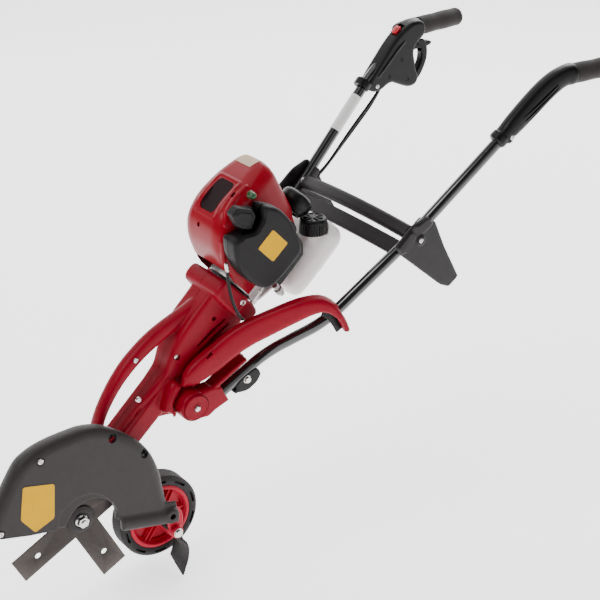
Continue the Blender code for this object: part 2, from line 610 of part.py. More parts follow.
build("fuel_tank", TANK, loft(tank_loops),
      add=[lathe([(0, 462), (17.6, 462), (17.6, 519), (0, 519)], (cap_c[0], cap_c[1], 0), (0, 0, 1), 16)],
      cut=[lathe([(0, 518.8), (16.9, 518.8), (16.9, 503.4), (25.5, 503.4), (25.5, 560), (0, 560)],
                 (cap_c[0], cap_c[1], 0), (0, 0, 1), 16)])


def ribs(i, h, r):
    return 1.0 if i % 2 or h > 526 or r < 20 else 0.955


ob = to_object("fuel_cap", lathe(
    [(17.4, 504), (22.5, 504), (22.5, 526.5), (20.5, 530.5), (0, 531.5), (0, 519.5), (17.4, 519.5)],
    (cap_c[0], cap_c[1], 0), (0, 0, 1), 32, ribs), BLACK, origin=(cap_c[0], cap_c[1], 504))
smooth(ob)
# throttle cable between its ferrule at the carburettor and the support arm
ob = to_object("cable_ferrule", lathe([(0, 0), (2.6, 0), (3.4, 3), (3.4, 13), (2.6, 15), (0, 15)],
                                     (114.8, 60, 500), (-0.1, 0, 0.995), 10), STEEL)
smooth(ob)
cable_line = rounded_path([(114.9, 60, 499.4), (116.5, 61, 482), (121, 63, 452), (134, 62, 420), (141, 61, 411)], 20, 3)
ob = to_object("engine_throttle_cable", sweep(cable_line, 2.6, 8), BLACK)
smooth(ob)
ob = to_object("fuel_fitting", lathe([(0, 0), (5, 0), (5, 8), (7, 9), (7, 18), (4.5, 19), (4.5, 24), (0, 24)],
                                    (205, 57.5, 451), (0.62, 0, -0.78), 8), ALUMINIUM)
smooth(ob)

# ============================================================== handlebar
SL = 0.514                                   # slope of the tube's lowest run
tube_pts = [(86, 50, 289 - 20 * SL), (190, 50, 289 + 84 * SL), (257, 123, 399), (406, 148, 513), (568, 177, 659),
            (618, 183.6, 697)]


def hand(points, sg):
    return [(x, sg * n, z) for x, n, z in points]


def tube_path(sg, extra=0.0):
    """Centre line of one handle tube, optionally run on past both ends."""
    pts = [Vector(p) for p in hand(tube_pts, sg)]
    pts[0] -= (pts[1] - pts[0]).normalized() * extra
    pts[-1] += (pts[-1] - pts[-2]).normalized() * extra
    return rounded_path(pts, 34, 3)


def tube_bore(sg, r=10.2):
    return sweep(tube_path(sg, 0.8), r, 12)


# support arms: a moulded beam that swings outwards and hooks over the tube
arm_line = [  # x, n, z, half height, half width
    (44, 41, 320, 7, 6), (52, 42, 326, 14, 9.5), (70, 43, 337, 19, 11.5), (97, 45, 350, 20.5, 12.5),
    (124, 51, 368, 20.5, 12.5), (149, 64, 386, 20.5, 12.5), (167, 78, 399, 20, 12.5), (186, 93, 412, 19, 12.5),
    (205, 107, 424, 18, 13), (224, 119, 433, 16, 13), (242, 129, 436, 13, 13.5), (256, 138, 430, 9, 12.5),
    (266, 145, 417, 6, 9.5), (274, 147, 402, 5, 8.5), (280, 148, 387, 4.5, 8)]


def arm(name, sg):
    loops = []
    pts = [Vector((x, sg * n, z)) for x, n, z, _, _ in arm_line]
    for i, (x, n, z, hh, hw) in enumerate(arm_line):
        t = (pts[min(i + 1, len(pts) - 1)] - pts[max(i - 1, 0)]).normalized()
        side = Vector((-t.y, t.x, 0)) if i < 10 else Vector((-t.y, t.x, 0))
        side = Vector((0.0, 1.0, 0.0)) if side.length < 0.2 else side
        side = (side - t * side.dot(t)).normalized()
        up = t.cross(side).normalized()
        loop = []
        for k in range(12):
            a = 2 * math.pi * (k + 0.5) / 12
            c, s = math.cos(a), math.sin(a)
            q = 0.62
            loop.append(pts[i] + side * (hw * math.copysign(abs(c) ** q, c)) + up * (hh * math.copysign(abs(s) ** q, s)))
        loops.append(loop)
    return build(name, RED, loft(loops), cut=[tube_bore(sg)])


arm("left_support_arm", 1)
arm("right_support_arm", -1)

def pivot_bracket(name, sg):
    block = arc(FOLD_X, FOLD_Z, 25.2, 62, 290, 12) + [(74, 257), (88, 265), (114, 274), (99, 304), (80, 307)]
    strip = [(72, 300), (122, 327), (150, 341), (158, 331), (113, 305), (90, 292)]
    return build(name, RED, plate(block, sg * 33, sg * 61.5, 0, 4),
                 add=[plate(strip, sg * 33.2, sg * 39.5), plate(circle(FOLD_X, FOLD_Z, 20.5, 20), sg * 50, sg * 64, 0, 1.5)],
                 cut=[tube_bore(sg), rod(FOLD_X, FOLD_Z, 5.45, sg * 20, sg * 90, 12)], origin=(FOLD_X, 0, FOLD_Z))


def tube_clamp(name, sg):
    poly = [(127, 296), (135, 304), (163, 318), (176, 302), (168, 290), (150, 280), (130, 281)]
    return build(name, GREY, plate(poly, sg * 40.8, sg * 61, 2, 3), cut=[tube_bore(sg)], origin=(FOLD_X, 0, FOLD_Z))


def handle_tube(name, sg):
    ob = to_object(name, sweep(tube_path(sg), TUBE_R, 12, TUBE_IN), TUBE_BLACK)
    place_origin(ob, (FOLD_X, 0, FOLD_Z))
    return smooth(ob)


pivot_bracket("left_pivot_bracket", 1)
pivot_bracket("right_pivot_bracket", -1)
tube_clamp("left_tube_clamp", 1)
tube_clamp("right_tube_clamp", -1)
handle_tube("left_handle_tube", 1)
handle_tube("right_handle_tube", -1)
ob = to_object("pivot_bolt", lathe([(0, -67), (7, -67), (7, -64.4), (5, -64.2), (5, 64.2), (7, 64.4), (7, 67), (0, 67)],
                                  (FOLD_X, 0, FOLD_Z), SIDE, 12), STEEL)
smooth(ob)

# cross brace: rail and band between the tubes, a leg plate outside each tube
UT = Vector((0.742, 0.0, 0.670))             # along the tubes, seen from the side
UN = Vector((-0.670, 0.0, 0.742))


def brace_bar(a0, a1, th, mid):
    """Bar across the machine; a0..a1 measured along the tube, th thickness."""
    loops = []
    for n in (-141, -110, -60, 0, 60, 110, 141):
        f = 1 - (n / 141.0) ** 2
        c = Vector((403, n, 512.5)) + UN * (mid * f)
        lp = []
        for a, b in ((a0 + 3, -th), (a1 - 3, -th), (a1, -th + 3), (a1, th - 3), (a1 - 3, th), (a0 + 3, th), (a0, th - 3),
                     (a0, -th + 3)):
            q = c + UT * a + UN * b
            lp.append((q.x, q.y, q.z))
        loops.append(lp)
    return loft(loops)


leg = [(372, 499), (365, 513), (397, 540), (429, 551), (445, 537), (464, 489), (486, 448), (499, 426), (480, 413),
       (461, 422), (408, 468)]
web = [(379, 492), (412, 523), (434, 541), (440, 535), (424, 510), (396, 488)]


build("cross_brace", GREY, brace_bar(-3, 21, 8, 14),
      add=[brace_bar(-35, -8, 5, 9)]
      + [plate(web, sg * 136, sg * 160) for sg in (1, -1)]
      + [plate(leg, sg * 159, sg * 164, 0, 1.2) for sg in (1, -1)],
      cut=[tube_bore(1), tube_bore(-1)], origin=(FOLD_X, 0, FOLD_Z))

# left handle: moulded elbow with a core for the grip
moulding = [(556, 176, 652.5, 13, 13), (566, 177.3, 659.5, 13.5, 13.5), (586, 180, 676, 16.5, 14), (612, 183, 698, 18, 14.5),
            (640, 186.5, 721, 18, 15), (662, 189, 735, 18, 15), (680, 191, 742, 17.5, 15.5), (694, 192.5, 743.5, 16, 16)]


def along(rows, sg, segs=12):
    return sweep([(x, sg * n, z) for x, n, z, _, _ in rows], [(a, b) for *_, a, b in rows], segs)


def core(sg, z0, z1):
    return sweep([(688, sg * 192, z0), (796, sg * 203, z1)], 11, 12)


def sleeve(name, sg, z0, z1):
    d = Vector((796 - 688, sg * 11, z1 - z0)).normalized()
    o = Vector((688, sg * 192, z0))
    ob = to_object(name, lathe([(11.35, 8.6), (15.6, 8.6), (16.5, 13), (16.5, 108), (15, 113), (0, 114.5), (0, 109.2),
                                (11.35, 109.2)], o, d, 16), GRIP, origin=(FOLD_X, 0, FOLD_Z))
    return smooth(ob)


build("left_handle_moulding", BLACK, along(moulding, 1), add=[core(1, 743, 745)],
      cut=[tube_bore(1)], origin=(FOLD_X, 0, FOLD_Z))
sleeve("left_grip", 1, 743, 745)

# throttle cable and stop wire between the brace and the throttle housing
throttle_line = rounded_path([(447, -152, 521), (470, -153, 537), (520, -158, 584), (570, -166, 622), (600, -173, 645)], 30, 3)
wire_line = rounded_path([(441, -154.4, 511), (466, -156.5, 528), (524, -163, 575), (580, -172, 618), (612, -180, 651)], 30, 3)


def hole(line, r):
    """Way through a moulding for a cable, a little deeper than its end."""
    pts = [Vector(p) for p in line]
    pts[-1] += (pts[-1] - pts[-2]).normalized() * 0.6
    return sweep(pts, r, 8)


# right handle: throttle housing with finger guard, trigger slot and switch
case = [(561, 652), (587, 684), (624, 728), (648, 746), (668, 755), (688, 754), (697, 742), (694, 726), (676, 714),
        (669, 700), (673, 684), (675, 668), (684, 650), (676, 637), (659, 635), (634, 646), (618, 653), (596, 640), (578, 640)]
loop_out = [(676, 637), (692, 650), (704, 672), (708, 690), (704, 712), (692, 722), (676, 716), (690, 707), (694, 690),
            (692, 676), (682, 660), (668, 650)]
N_C = -180.0
switch_c = Vector((643, N_C, 742))
build("throttle_housing", BLACK, plate(case, N_C - 15, N_C + 15, 5, 5),
      add=[plate(loop_out, N_C - 8, N_C + 8, 2, 2), core(-1, 736, 736),
           sweep([(660, -189, 734), (694, -192.5, 736)], [17, 16], 12)],
      cut=[tube_bore(-1), hole(throttle_line, 3.1), hole(wire_line, 2.6),
           plate([(652, 694), (712, 694), (712, 722.5), (686, 722.5), (652, 716)], N_C - 7, N_C + 7),
           loft([[(632 + dx, n, 733 + dz) for n in (N_C - 6,)] + [(632 + dx, N_C + 6, 733 + dz)]
                 + [(653 + dx, N_C + 6, 748.5 + dz), (653 + dx, N_C - 6, 748.5 + dz)]
                 for dx, dz in ((4.2, -5.8), (-9, 12))])],
      origin=(FOLD_X, 0, FOLD_Z))
sleeve("right_grip", -1, 736, 736)
TRIG_X, TRIG_Z = 662.0, 706.0
trig = arc(TRIG_X, TRIG_Z, 5.5, 100, 265, 5) + [(672, 699.5), (690, 702), (703, 702), (714, 704.5), (717, 709), (711, 711.5),
                                                (700, 710), (686, 711), (672, 711.5)]
build("throttle_trigger", BLACK, plate(trig, N_C - 6.4, N_C + 6.4, 1, 1), origin=(TRIG_X, N_C, TRIG_Z))
UD = Vector((0.805, 0, 0.594))
UP2 = Vector((-0.594, 0, 0.805))
sw = []
for b, g in ((-3.0, 0.0), (3.2, 0.0), (5.0, -1.4)):
    lp = []
    for a, n in ((-7, -5.4), (7, -5.4), (7, 5.4), (-7, 5.4)):
        a2, n2 = a + math.copysign(g, a), n + math.copysign(g, n)
        q = Vector((639.5, N_C + n2, 739.0)) + UD * a2 + UP2 * (b + 0.0)
        lp.append((q.x, q.y, q.z))
    sw.append(lp)
build("stop_switch", RIM_RED, loft(sw), origin=(639.5, N_C, 739))

for nm, line, r in (("throttle_cable", throttle_line, 2.6), ("stop_wire", wire_line, 2.1)):
    ob = to_object(nm, sweep(line, r, 8), BLACK)
    smooth(ob)

# every leftover tool mesh is gone; only the named solids remain
for me in list(bpy.data.meshes):
    if me.users == 0:
        bpy.data.meshes.remove(me)
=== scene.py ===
import math

import bmesh
import bpy
from mathutils import Matrix, Vector


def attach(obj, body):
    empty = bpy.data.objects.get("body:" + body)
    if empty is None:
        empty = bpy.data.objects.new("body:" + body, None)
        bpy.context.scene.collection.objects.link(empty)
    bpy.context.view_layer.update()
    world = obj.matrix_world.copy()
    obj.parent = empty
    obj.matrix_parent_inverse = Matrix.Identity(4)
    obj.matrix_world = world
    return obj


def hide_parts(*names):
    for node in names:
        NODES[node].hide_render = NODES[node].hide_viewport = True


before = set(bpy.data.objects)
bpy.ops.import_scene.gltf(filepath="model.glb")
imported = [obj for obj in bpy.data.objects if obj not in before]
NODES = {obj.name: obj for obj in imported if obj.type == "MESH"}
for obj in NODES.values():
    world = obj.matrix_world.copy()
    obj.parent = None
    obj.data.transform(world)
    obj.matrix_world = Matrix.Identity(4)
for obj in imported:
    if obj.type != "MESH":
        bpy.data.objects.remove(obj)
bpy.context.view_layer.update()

# ---------------------------------------------------------------- datum
# Design millimetres: x rearwards, n to the operator's left, z up.
DATUM_X, DATUM_Z = 245.0, -17.6
MM = 0.001
HUB_X, HUB_Z = -159.0, 148.0
CA, SA = math.cos(math.radians(42.4)), math.sin(math.radians(42.4))
FOLD_X, FOLD_Z = 50.0, 282.0
AXLE_X, AXLE_Z = 0.0, 73.0
ARM_X, ARM_Z = -8.0, 107.0
HUB = (HUB_X, 0.0, HUB_Z)
SIDE = (0, 1, 0)
DRIVE = (CA, 0.0, SA)


def P(x, n, z):
    return Vector(((x - DATUM_X) * MM, -n * MM, (z - DATUM_Z) * MM))


def E(t, s, n=0.0):
    return (HUB_X + t * CA - s * SA, n, HUB_Z + t * SA + s * CA)


def exz(t, s):
    q = E(t, s)
    return (q[0], q[2])


# ---------------------------------------------------------------- camera
cam_data = bpy.data.cameras.new("studio_camera")
cam_data.lens = 90.0
cam_data.sensor_width = 36.0
cam_data.clip_start = 0.05
cam_data.clip_end = 60.0
cam = bpy.data.objects.new("studio_camera", cam_data)
bpy.context.scene.collection.objects.link(cam)
cam.location = P(-1028.6, 1824.0, 1457.5)
aim = P(296.6, 0.0, 377.3)
cam.rotation_mode = 'QUATERNION'
cam.rotation_quaternion = (aim - cam.location).to_track_quat('-Z', 'Y')
bpy.context.scene.camera = cam


# ---------------------------------------------------------------- materials
def node(nt, kind, **inputs):
    nd = nt.nodes.new(kind)
    for k, v in inputs.items():
        key = k.replace("_", " ")
        if key in nd.inputs:
            nd.inputs[key].default_value = v
        else:
            setattr(nd, k, v)
    return nd


def surface(name, base, vary=0.10, rough=0.45, rough_var=0.08, metal=0.0, coat=0.0, coat_rough=0.12,
            grain=0.25, grain_mm=0.5, mottle_mm=22.0, spec=0.5, edge=None, edge_wear_highlight_amount=0.0,
            brushed=None, subsurface=0.0, sub_radius=(0.01, 0.004, 0.004), transmission=0.0, ior=1.5,
            dust=0.0, dust_rgb=(0.35, 0.33, 0.31), depth_mm=0.12, speck=0.0, sheen=0.0):
    """Procedural finish: mottled colour, uneven gloss, fine grain, edges lightened as wear and as painted highlight."""
    m = bpy.data.materials.new(name)
    m.use_nodes = True
    nt = m.node_tree
    b = nt.nodes["Principled BSDF"]
    b.inputs["Metallic"].default_value = metal
    b.inputs["Coat Weight"].default_value = coat
    b.inputs["Coat Roughness"].default_value = coat_rough
    b.inputs["Specular IOR Level"].default_value = spec
    b.inputs["IOR"].default_value = ior
    if subsurface:
        b.inputs["Subsurface Weight"].default_value = subsurface
        b.inputs["Subsurface Radius"].default_value = sub_radius
        b.inputs["Subsurface Scale"].default_value = 1.0
    if transmission:
        b.inputs["Transmission Weight"].default_value = transmission
    if sheen:
        b.inputs["Sheen Weight"].default_value = sheen
    tc = nt.nodes.new("ShaderNodeTexCoord")
    src = tc.outputs["Object"]
    if brushed:
        mp = nt.nodes.new("ShaderNodeMapping")
        mp.inputs["Scale"].default_value = brushed
        nt.links.new(tc.outputs["Object"], mp.inputs["Vector"])
        src = mp.outputs["Vector"]
    big = node(nt, "ShaderNodeTexNoise", Scale=1000.0 / mottle_mm, Detail=5.0, Roughness=0.6)
    nt.links.new(tc.outputs["Object"], big.inputs["Vector"])
    mid = node(nt, "ShaderNodeTexNoise", Scale=1000.0 / 4.0, Detail=4.0, Roughness=0.65)
    nt.links.new(src, mid.inputs["Vector"])
    fine = node(nt, "ShaderNodeTexNoise", Scale=1000.0 / grain_mm, Detail=3.0, Roughness=0.6)
    nt.links.new(src, fine.inputs["Vector"])
    mixc = node(nt, "ShaderNodeMix", data_type='RGBA')
    lo = tuple(c * (1 - vary) for c in base) + (1,)
    hi = tuple(min(1.0, c * (1 + vary)) for c in base) + (1,)
    mixc.inputs[6].default_value = lo
    mixc.inputs[7].default_value = hi
    add = node(nt, "ShaderNodeMath", operation='MULTIPLY_ADD')
    nt.links.new(mid.outputs["Fac"], add.inputs[0])
    add.inputs[1].default_value = 0.45
    nt.links.new(big.outputs["Fac"], add.inputs[2])
    rng = node(nt, "ShaderNodeMapRange")
    rng.inputs["From Min"].default_value = 0.45
    rng.inputs["From Max"].default_value = 1.0
    nt.links.new(add.outputs[0], rng.inputs["Value"])
    nt.links.new(rng.outputs["Result"], mixc.inputs[0])
    colour = mixc.outputs[2]
    if speck:
        sp = node(nt, "ShaderNodeTexNoise", Scale=1000.0 / 0.9, Detail=1.0)
        nt.links.new(tc.outputs["Object"], sp.inputs["Vector"])
        sr = node(nt, "ShaderNodeMapRange")
        sr.inputs["From Min"].default_value = 0.62
        sr.inputs["From Max"].default_value = 0.74
        sr.inputs["To Max"].default_value = speck
        nt.links.new(sp.outputs["Fac"], sr.inputs["Value"])
        mx = node(nt, "ShaderNodeMix", data_type='RGBA')
        mx.inputs[7].default_value = tuple(min(1.0, c * 2.2 + 0.03) for c in base) + (1,)
        nt.links.new(sr.outputs["Result"], mx.inputs[0])
        nt.links.new(colour, mx.inputs[6])
        colour = mx.outputs[2]
    # edges lightened where the mesh is pointy: part wear, part painted highlight
    if edge_wear_highlight_amount:
        geo = nt.nodes.new("ShaderNodeNewGeometry")
        er = node(nt, "ShaderNodeMapRange")
        er.inputs["From Min"].default_value = 0.52
        er.inputs["From Max"].default_value = 0.60
        er.inputs["To Max"].default_value = edge_wear_highlight_amount
        nt.links.new(geo.outputs["Pointiness"], er.inputs["Value"])
        mx = node(nt, "ShaderNodeMix", data_type='RGBA')
        mx.inputs[7].default_value = tuple(edge or [min(1.0, c * 1.8 + 0.02) for c in base]) + (1,)
        nt.links.new(er.outputs["Result"], mx.inputs[0])
        nt.links.new(colour, mx.inputs[6])
        colour = mx.outputs[2]
    if dust:
        sep = nt.nodes.new("ShaderNodeSeparateXYZ")
        geo = nt.nodes.new("ShaderNodeNewGeometry")
        nt.links.new(geo.outputs["Normal"], sep.inputs["Vector"])
        dr = node(nt, "ShaderNodeMapRange")
        dr.inputs["From Min"].default_value = 0.2
        dr.inputs["From Max"].default_value = 1.0
        dr.inputs["To Max"].default_value = dust
        nt.links.new(sep.outputs["Z"], dr.inputs["Value"])
        mul = node(nt, "ShaderNodeMath", operation='MULTIPLY')
        nt.links.new(dr.outputs["Result"], mul.inputs[0])
        nt.links.new(rng.outputs["Result"], mul.inputs[1])
        mx = node(nt, "ShaderNodeMix", data_type='RGBA')
        mx.inputs[7].default_value = tuple(dust_rgb) + (1,)
        nt.links.new(mul.outputs[0], mx.inputs[0])
        nt.links.new(colour, mx.inputs[6])
        colour = mx.outputs[2]
    nt.links.new(colour, b.inputs["Base Color"])
    rr = node(nt, "ShaderNodeMapRange")
    rr.inputs["From Min"].default_value = 0.3
    rr.inputs["From Max"].default_value = 0.7
    rr.inputs["To Min"].default_value = max(0.02, rough - rough_var)
    rr.inputs["To Max"].default_value = min(1.0, rough + rough_var)
    nt.links.new(mid.outputs["Fac"], rr.inputs["Value"])
    nt.links.new(rr.outputs["Result"], b.inputs["Roughness"])
    if grain:
        bump = node(nt, "ShaderNodeBump", Strength=grain, Distance=depth_mm * MM)
        nt.links.new(fine.outputs["Fac"], bump.inputs["Height"])
        nt.links.new(bump.outputs["Normal"], b.inputs["Normal"])
    m.diffuse_color = tuple(base) + (1,)
    return m


def srgb(r, g, b):
    def f(c):
        c /= 255.0
        return c / 12.92 if c <= 0.04045 else ((c + 0.055) / 1.055) ** 2.4
    return (f(r), f(g), f(b))


RED = surface("moulded_red", (0.245, 0.0014, 0.013), vary=0.10, rough=0.38, rough_var=0.07, grain=0.35, grain_mm=0.8,
              edge_wear_highlight_amount=0.14, edge=(0.36, 0.008, 0.016), spec=0.13, depth_mm=0.06)
HOOD_RED = surface("lacquered_red", (0.26, 0.001, 0.010), vary=0.06, rough=0.34, rough_var=0.04, coat=0.16, coat_rough=0.09,
                   grain=0.08, grain_mm=1.4, spec=0.11, depth_mm=0.03)
RIM_RED = surface("rim_red", (0.48, 0.004, 0.028), vary=0.08, rough=0.42, grain=0.3, grain_mm=0.7, spec=0.20)
GREY = surface("guard_grey", srgb(46, 41, 41), vary=0.10, rough=0.50, rough_var=0.07, grain=0.6, grain_mm=0.6,
               edge_wear_highlight_amount=0.22, edge=srgb(80, 73, 75), spec=0.22, speck=0.10, depth_mm=0.07)
BRACE = surface("brace_grey", srgb(30, 26, 27), vary=0.14, rough=0.40, rough_var=0.10, grain=0.45, grain_mm=0.6,
                edge_wear_highlight_amount=0.25, edge=srgb(70, 64, 65), spec=0.22, speck=0.08, depth_mm=0.07)
BLACK = surface("black_moulding", srgb(12, 10, 10), vary=0.16, rough=0.36, rough_var=0.08, grain=0.4, grain_mm=0.6,
                edge_wear_highlight_amount=0.22, edge=srgb(40, 35, 36), spec=0.22, depth_mm=0.06)
COVER = surface("cover_black", srgb(20, 17, 18), vary=0.10, rough=0.52, rough_var=0.07, grain=0.6, grain_mm=0.7,
                edge_wear_highlight_amount=0.20, edge=srgb(50, 44, 46), spec=0.20, depth_mm=0.07)
GRIP = surface("grip_foam", srgb(34, 27, 27), vary=0.12, rough=0.78, rough_var=0.08, grain=1.0, grain_mm=0.9,
               spec=0.3, speck=0.12, depth_mm=0.18, sheen=0.15)
TUBE = surface("black_enamel", srgb(13, 11, 12), vary=0.10, rough=0.16, rough_var=0.05, coat=0.6, coat_rough=0.06,
               grain=0.06, grain_mm=1.6, spec=0.6, depth_mm=0.03)
RUBBER = surface("flap_rubber", srgb(28, 24, 25), vary=0.15, rough=0.62, grain=0.7, grain_mm=0.9, spec=0.4,
                 speck=0.08, depth_mm=0.12)
TYRE = surface("tyre_rubber", srgb(34, 29, 30), vary=0.15, rough=0.66, grain=0.8, grain_mm=0.8, spec=0.35,
               speck=0.15, dust=0.12, depth_mm=0.12)
STEEL = surface("zinc_steel", srgb(205, 203, 200), vary=0.08, rough=0.24, rough_var=0.10, metal=1.0, grain=0.3,
                grain_mm=0.4, brushed=(1, 1, 6), depth_mm=0.04)
BLADE = surface("blade_steel", srgb(40, 33, 31), vary=0.22, rough=0.46, rough_var=0.14, metal=0.55, grain=0.5,
                grain_mm=0.5, brushed=(1, 1, 1), mottle_mm=9.0, spec=0.5, speck=0.18, depth_mm=0.05,
                edge_wear_highlight_amount=0.3, edge=srgb(150, 138, 132))
DISH = surface("washer_steel", srgb(36, 31, 32), vary=0.2, rough=0.42, rough_var=0.12, metal=0.6, grain=0.5,
               grain_mm=0.5, depth_mm=0.05)
ALU = surface("cast_aluminium", srgb(176, 168, 168), vary=0.12, rough=0.42, rough_var=0.12, metal=0.85, grain=0.8,
              grain_mm=0.9, speck=0.2, depth_mm=0.12, mottle_mm=12.0)
TANK = surface("tank_plastic", srgb(240, 233, 231), vary=0.03, rough=0.34, rough_var=0.05, grain=0.25, grain_mm=1.6,
               subsurface=0.35, sub_radius=(0.006, 0.005, 0.005), spec=0.5, depth_mm=0.06)
GREEN = surface("bulb_green", srgb(38, 78, 40), vary=0.12, rough=0.25, grain=0.1, subsurface=0.15)
SWITCH = surface("switch_red", srgb(190, 30, 44), vary=0.08, rough=0.35, grain=0.2)
YELLOW = surface("label_yellow", (0.74, 0.39, 0.0), vary=0.05, rough=0.55, rough_var=0.05, grain=0.12, grain_mm=1.2, spec=0.08)
AMBER = surface("label_border", srgb(30, 22, 10), vary=0.08, rough=0.45, grain=0.1)
MAROON = surface("label_maroon", srgb(26, 3, 7), vary=0.15, rough=0.45, grain=0.0, coat=0.0, spec=0.10, mottle_mm=40.0)
CREAM = surface("heat_tape", srgb(206, 178, 150), vary=0.10, rough=0.55, grain=0.5, grain_mm=0.8)
WHITE = surface("label_white", srgb(232, 230, 228), vary=0.03, rough=0.45, grain=0.1)
# near-black standing in for the shade inside holes and inside the hood: painted shade
PAINTED_SHADE = surface("painted_shade_black", srgb(7, 5, 5), vary=0.2, rough=0.7, grain=0.3)


# ---------------------------------------------------------------- mesh tools
def frame_for(d):
    d = Vector(d).normalized()
    a = Vector((0, 0, 1)) if abs(d.z) < 0.9 else Vector((1, 0, 0))
    u = d.cross(a).normalized()
    return d, u, u.cross(d)


def loft(loops, closed=False):
    bm = bmesh.new()
    rows = [[bm.verts.new(p) for p in lp] for lp in loops]
    k = len(rows[0])
    pairs = list(zip(rows, rows[1:]))
    if closed:
        pairs.append((rows[-1], rows[0]))
    for a, b in pairs:
        for i in range(k):
            bm.faces.new((a[i], a[(i + 1) % k], b[(i + 1) % k], b[i]))
    if not closed:
        bm.faces.new(rows[0])
        bm.faces.new(rows[-1])
    return bm


def area2(poly):
    return sum(a[0] * b[1] - b[0] * a[1] for a, b in zip(poly, poly[1:] + poly[:1]))


def offset(poly, d):
    if area2(poly) < 0:
        poly = poly[::-1]
    out = []
    k = len(poly)
    for i in range(k):
        a, b, c = poly[i - 1], poly[i], poly[(i + 1) % k]
        u = Vector((b[0] - a[0], b[1] - a[1])).normalized()
        w = Vector((c[0] - b[0], c[1] - b[1])).normalized()
        n1, n2 = Vector((u.y, -u.x)), Vector((w.y, -w.x))
        m = n1 + n2
        if m.length < 1e-6:
            m = n1.copy()
        m.normalize()
        ln = d / max(0.5, m.dot(n1))
        out.append((b[0] + m.x * ln, b[1] + m.y * ln))
    return out


def chaikin(poly, rounds=2, cut=0.25):
    """Round an outline's corners."""
    for _ in range(rounds):
        out = []
        for a, b in zip(poly, poly[1:] + poly[:1]):
            out.append((a[0] * (1 - cut) + b[0] * cut, a[1] * (1 - cut) + b[1] * cut))
            out.append((a[0] * cut + b[0] * (1 - cut), a[1] * cut + b[1] * (1 - cut)))
        poly = out
    return poly


def prism(poly, layers):
    return loft([[(x, n, z) for x, z in offset(poly, g)] for n, g in layers])


def rounded(poly, n0, n1, r0=0.0, r1=0.0, k=4):
    """Plate from n0 to n1 with its rims rounded by r0 and r1."""
    sgn = 1 if n1 > n0 else -1
    layers = []
    if r0:
        for i in range(k + 1):
            a = math.pi / 2 * i / k
            layers.append((n0 + sgn * r0 * (1 - math.cos(a)), -r0 * (1 - math.sin(a))))
    else:
        layers.append((n0, 0.0))
    if r1:
        for i in range(k, -1, -1):
            a = math.pi / 2 * i / k
            layers.append((n1 - sgn * r1 * (1 - math.cos(a)), -r1 * (1 - math.sin(a))))
    else:
        layers.append((n1, 0.0))
    return prism(poly, layers)


def circle(cx, cz, r, k, start=0.0):
    return [(cx + r * math.cos(math.radians(start) + 2 * math.pi * i / k),
             cz + r * math.sin(math.radians(start) + 2 * math.pi * i / k)) for i in range(k)]


def arc(cx, cz, r, a0, a1, k):
    return [(cx + r * math.cos(math.radians(a0 + (a1 - a0) * i / k)),
             cz + r * math.sin(math.radians(a0 + (a1 - a0) * i / k))) for i in range(k + 1)]


def lathe(profile, origin, axis, segs=48, wave=None):
    d, u, w = frame_for(axis)
    o = Vector(origin)
    solid = profile[0][0] < 1e-6 and profile[-1][0] < 1e-6
    bm = bmesh.new()
    rows = []
    for r, h in profile:
        if r < 1e-6:
            rows.append([bm.verts.new(o + d * h)])
            continue
        row = []
        for i in range(segs):
            rr = r + (wave(i, h, r) if wave else 0.0)
            ang = 2 * math.pi * i / segs
            row.append(bm.verts.new(o + d * h + (u * math.cos(ang) + w * math.sin(ang)) * rr))
        rows.append(row)
    pairs = list(zip(rows, rows[1:]))
    if not solid:
        pairs.append((rows[-1], rows[0]))
    for a, b in pairs:
        for i in range(segs):
            j = (i + 1) % segs
            if len(a) == 1 and len(b) == 1:
                continue
            if len(a) == 1:
                bm.faces.new((a[0], b[j], b[i]))
            elif len(b) == 1:
                bm.faces.new((a[i], a[j], b[0]))
            else:
                bm.faces.new((a[i], a[j], b[j], b[i]))
    return bm


def spline(points, per=8):
    """Catmull-Rom through tuples of any length."""
    pts = [list(map(float, p)) for p in points]
    out = []
    for i in range(len(pts) - 1):
        p0, p1, p2, p3 = pts[max(i - 1, 0)], pts[i], pts[i + 1], pts[min(i + 2, len(pts) - 1)]
        for j in range(per):
            f = j / per
            out.append(tuple(0.5 * ((2 * b) + (c - a) * f + (2 * a - 5 * b + 4 * c - d) * f * f
                                    + (3 * b - a - 3 * c + d) * f ** 3) for a, b, c, d in zip(p0, p1, p2, p3)))
    out.append(tuple(pts[-1]))
    return out


def rounded_path(points, radius, steps):
    pts = [Vector(p) for p in points]
    out = [pts[0]]
    for a, b, c in zip(pts, pts[1:], pts[2:]):
        r = min(radius, (b - a).length * 0.45, (c - b).length * 0.45)
        p0, p2 = b + (a - b).normalized() * r, b + (c - b).normalized() * r
        for i in range(steps + 1):
            f = i / steps
            out.append((1 - f) ** 2 * p0 + 2 * f * (1 - f) * b + f * f * p2)
    out.append(pts[-1])
    return out


def sweep(path, radii, segs=24, inner=None, power=1.0):
    """Bar along a path.  radii may be one number, or (up, side) per point."""
    pts = [Vector(p) for p in path]
    k = len(pts)
    if not isinstance(radii, (list, tuple)):
        radii = [radii] * k
    tang = [(pts[min(i + 1, k - 1)] - pts[max(i - 1, 0)]).normalized() for i in range(k)]
    up = Vector((0, 0, 1))
    u = (up - tang[0] * up.dot(tang[0])).normalized()
    frames = []
    for t in tang:
        u = (u - t * u.dot(t)).normalized()
        frames.append((u.copy(), t.cross(u)))

    def rows(shrink):
        res = []
        for p, (a, b), r in zip(pts, frames, radii):
            ra, rb = (r if isinstance(r, (list, tuple)) else (r, r))
            if shrink is not None:
                ra = rb = shrink
            lp = []
            for i in range(segs):
                c, s = math.cos(2 * math.pi * i / segs), math.sin(2 * math.pi * i / segs)
                c = math.copysign(abs(c) ** power, c)
                s = math.copysign(abs(s) ** power, s)
                lp.append(p + a * (ra * c) + b * (rb * s))
            res.append(lp)
        return res
    if inner is None:
        return loft(rows(None))
    return loft(rows(None) + rows(inner)[::-1], closed=True)


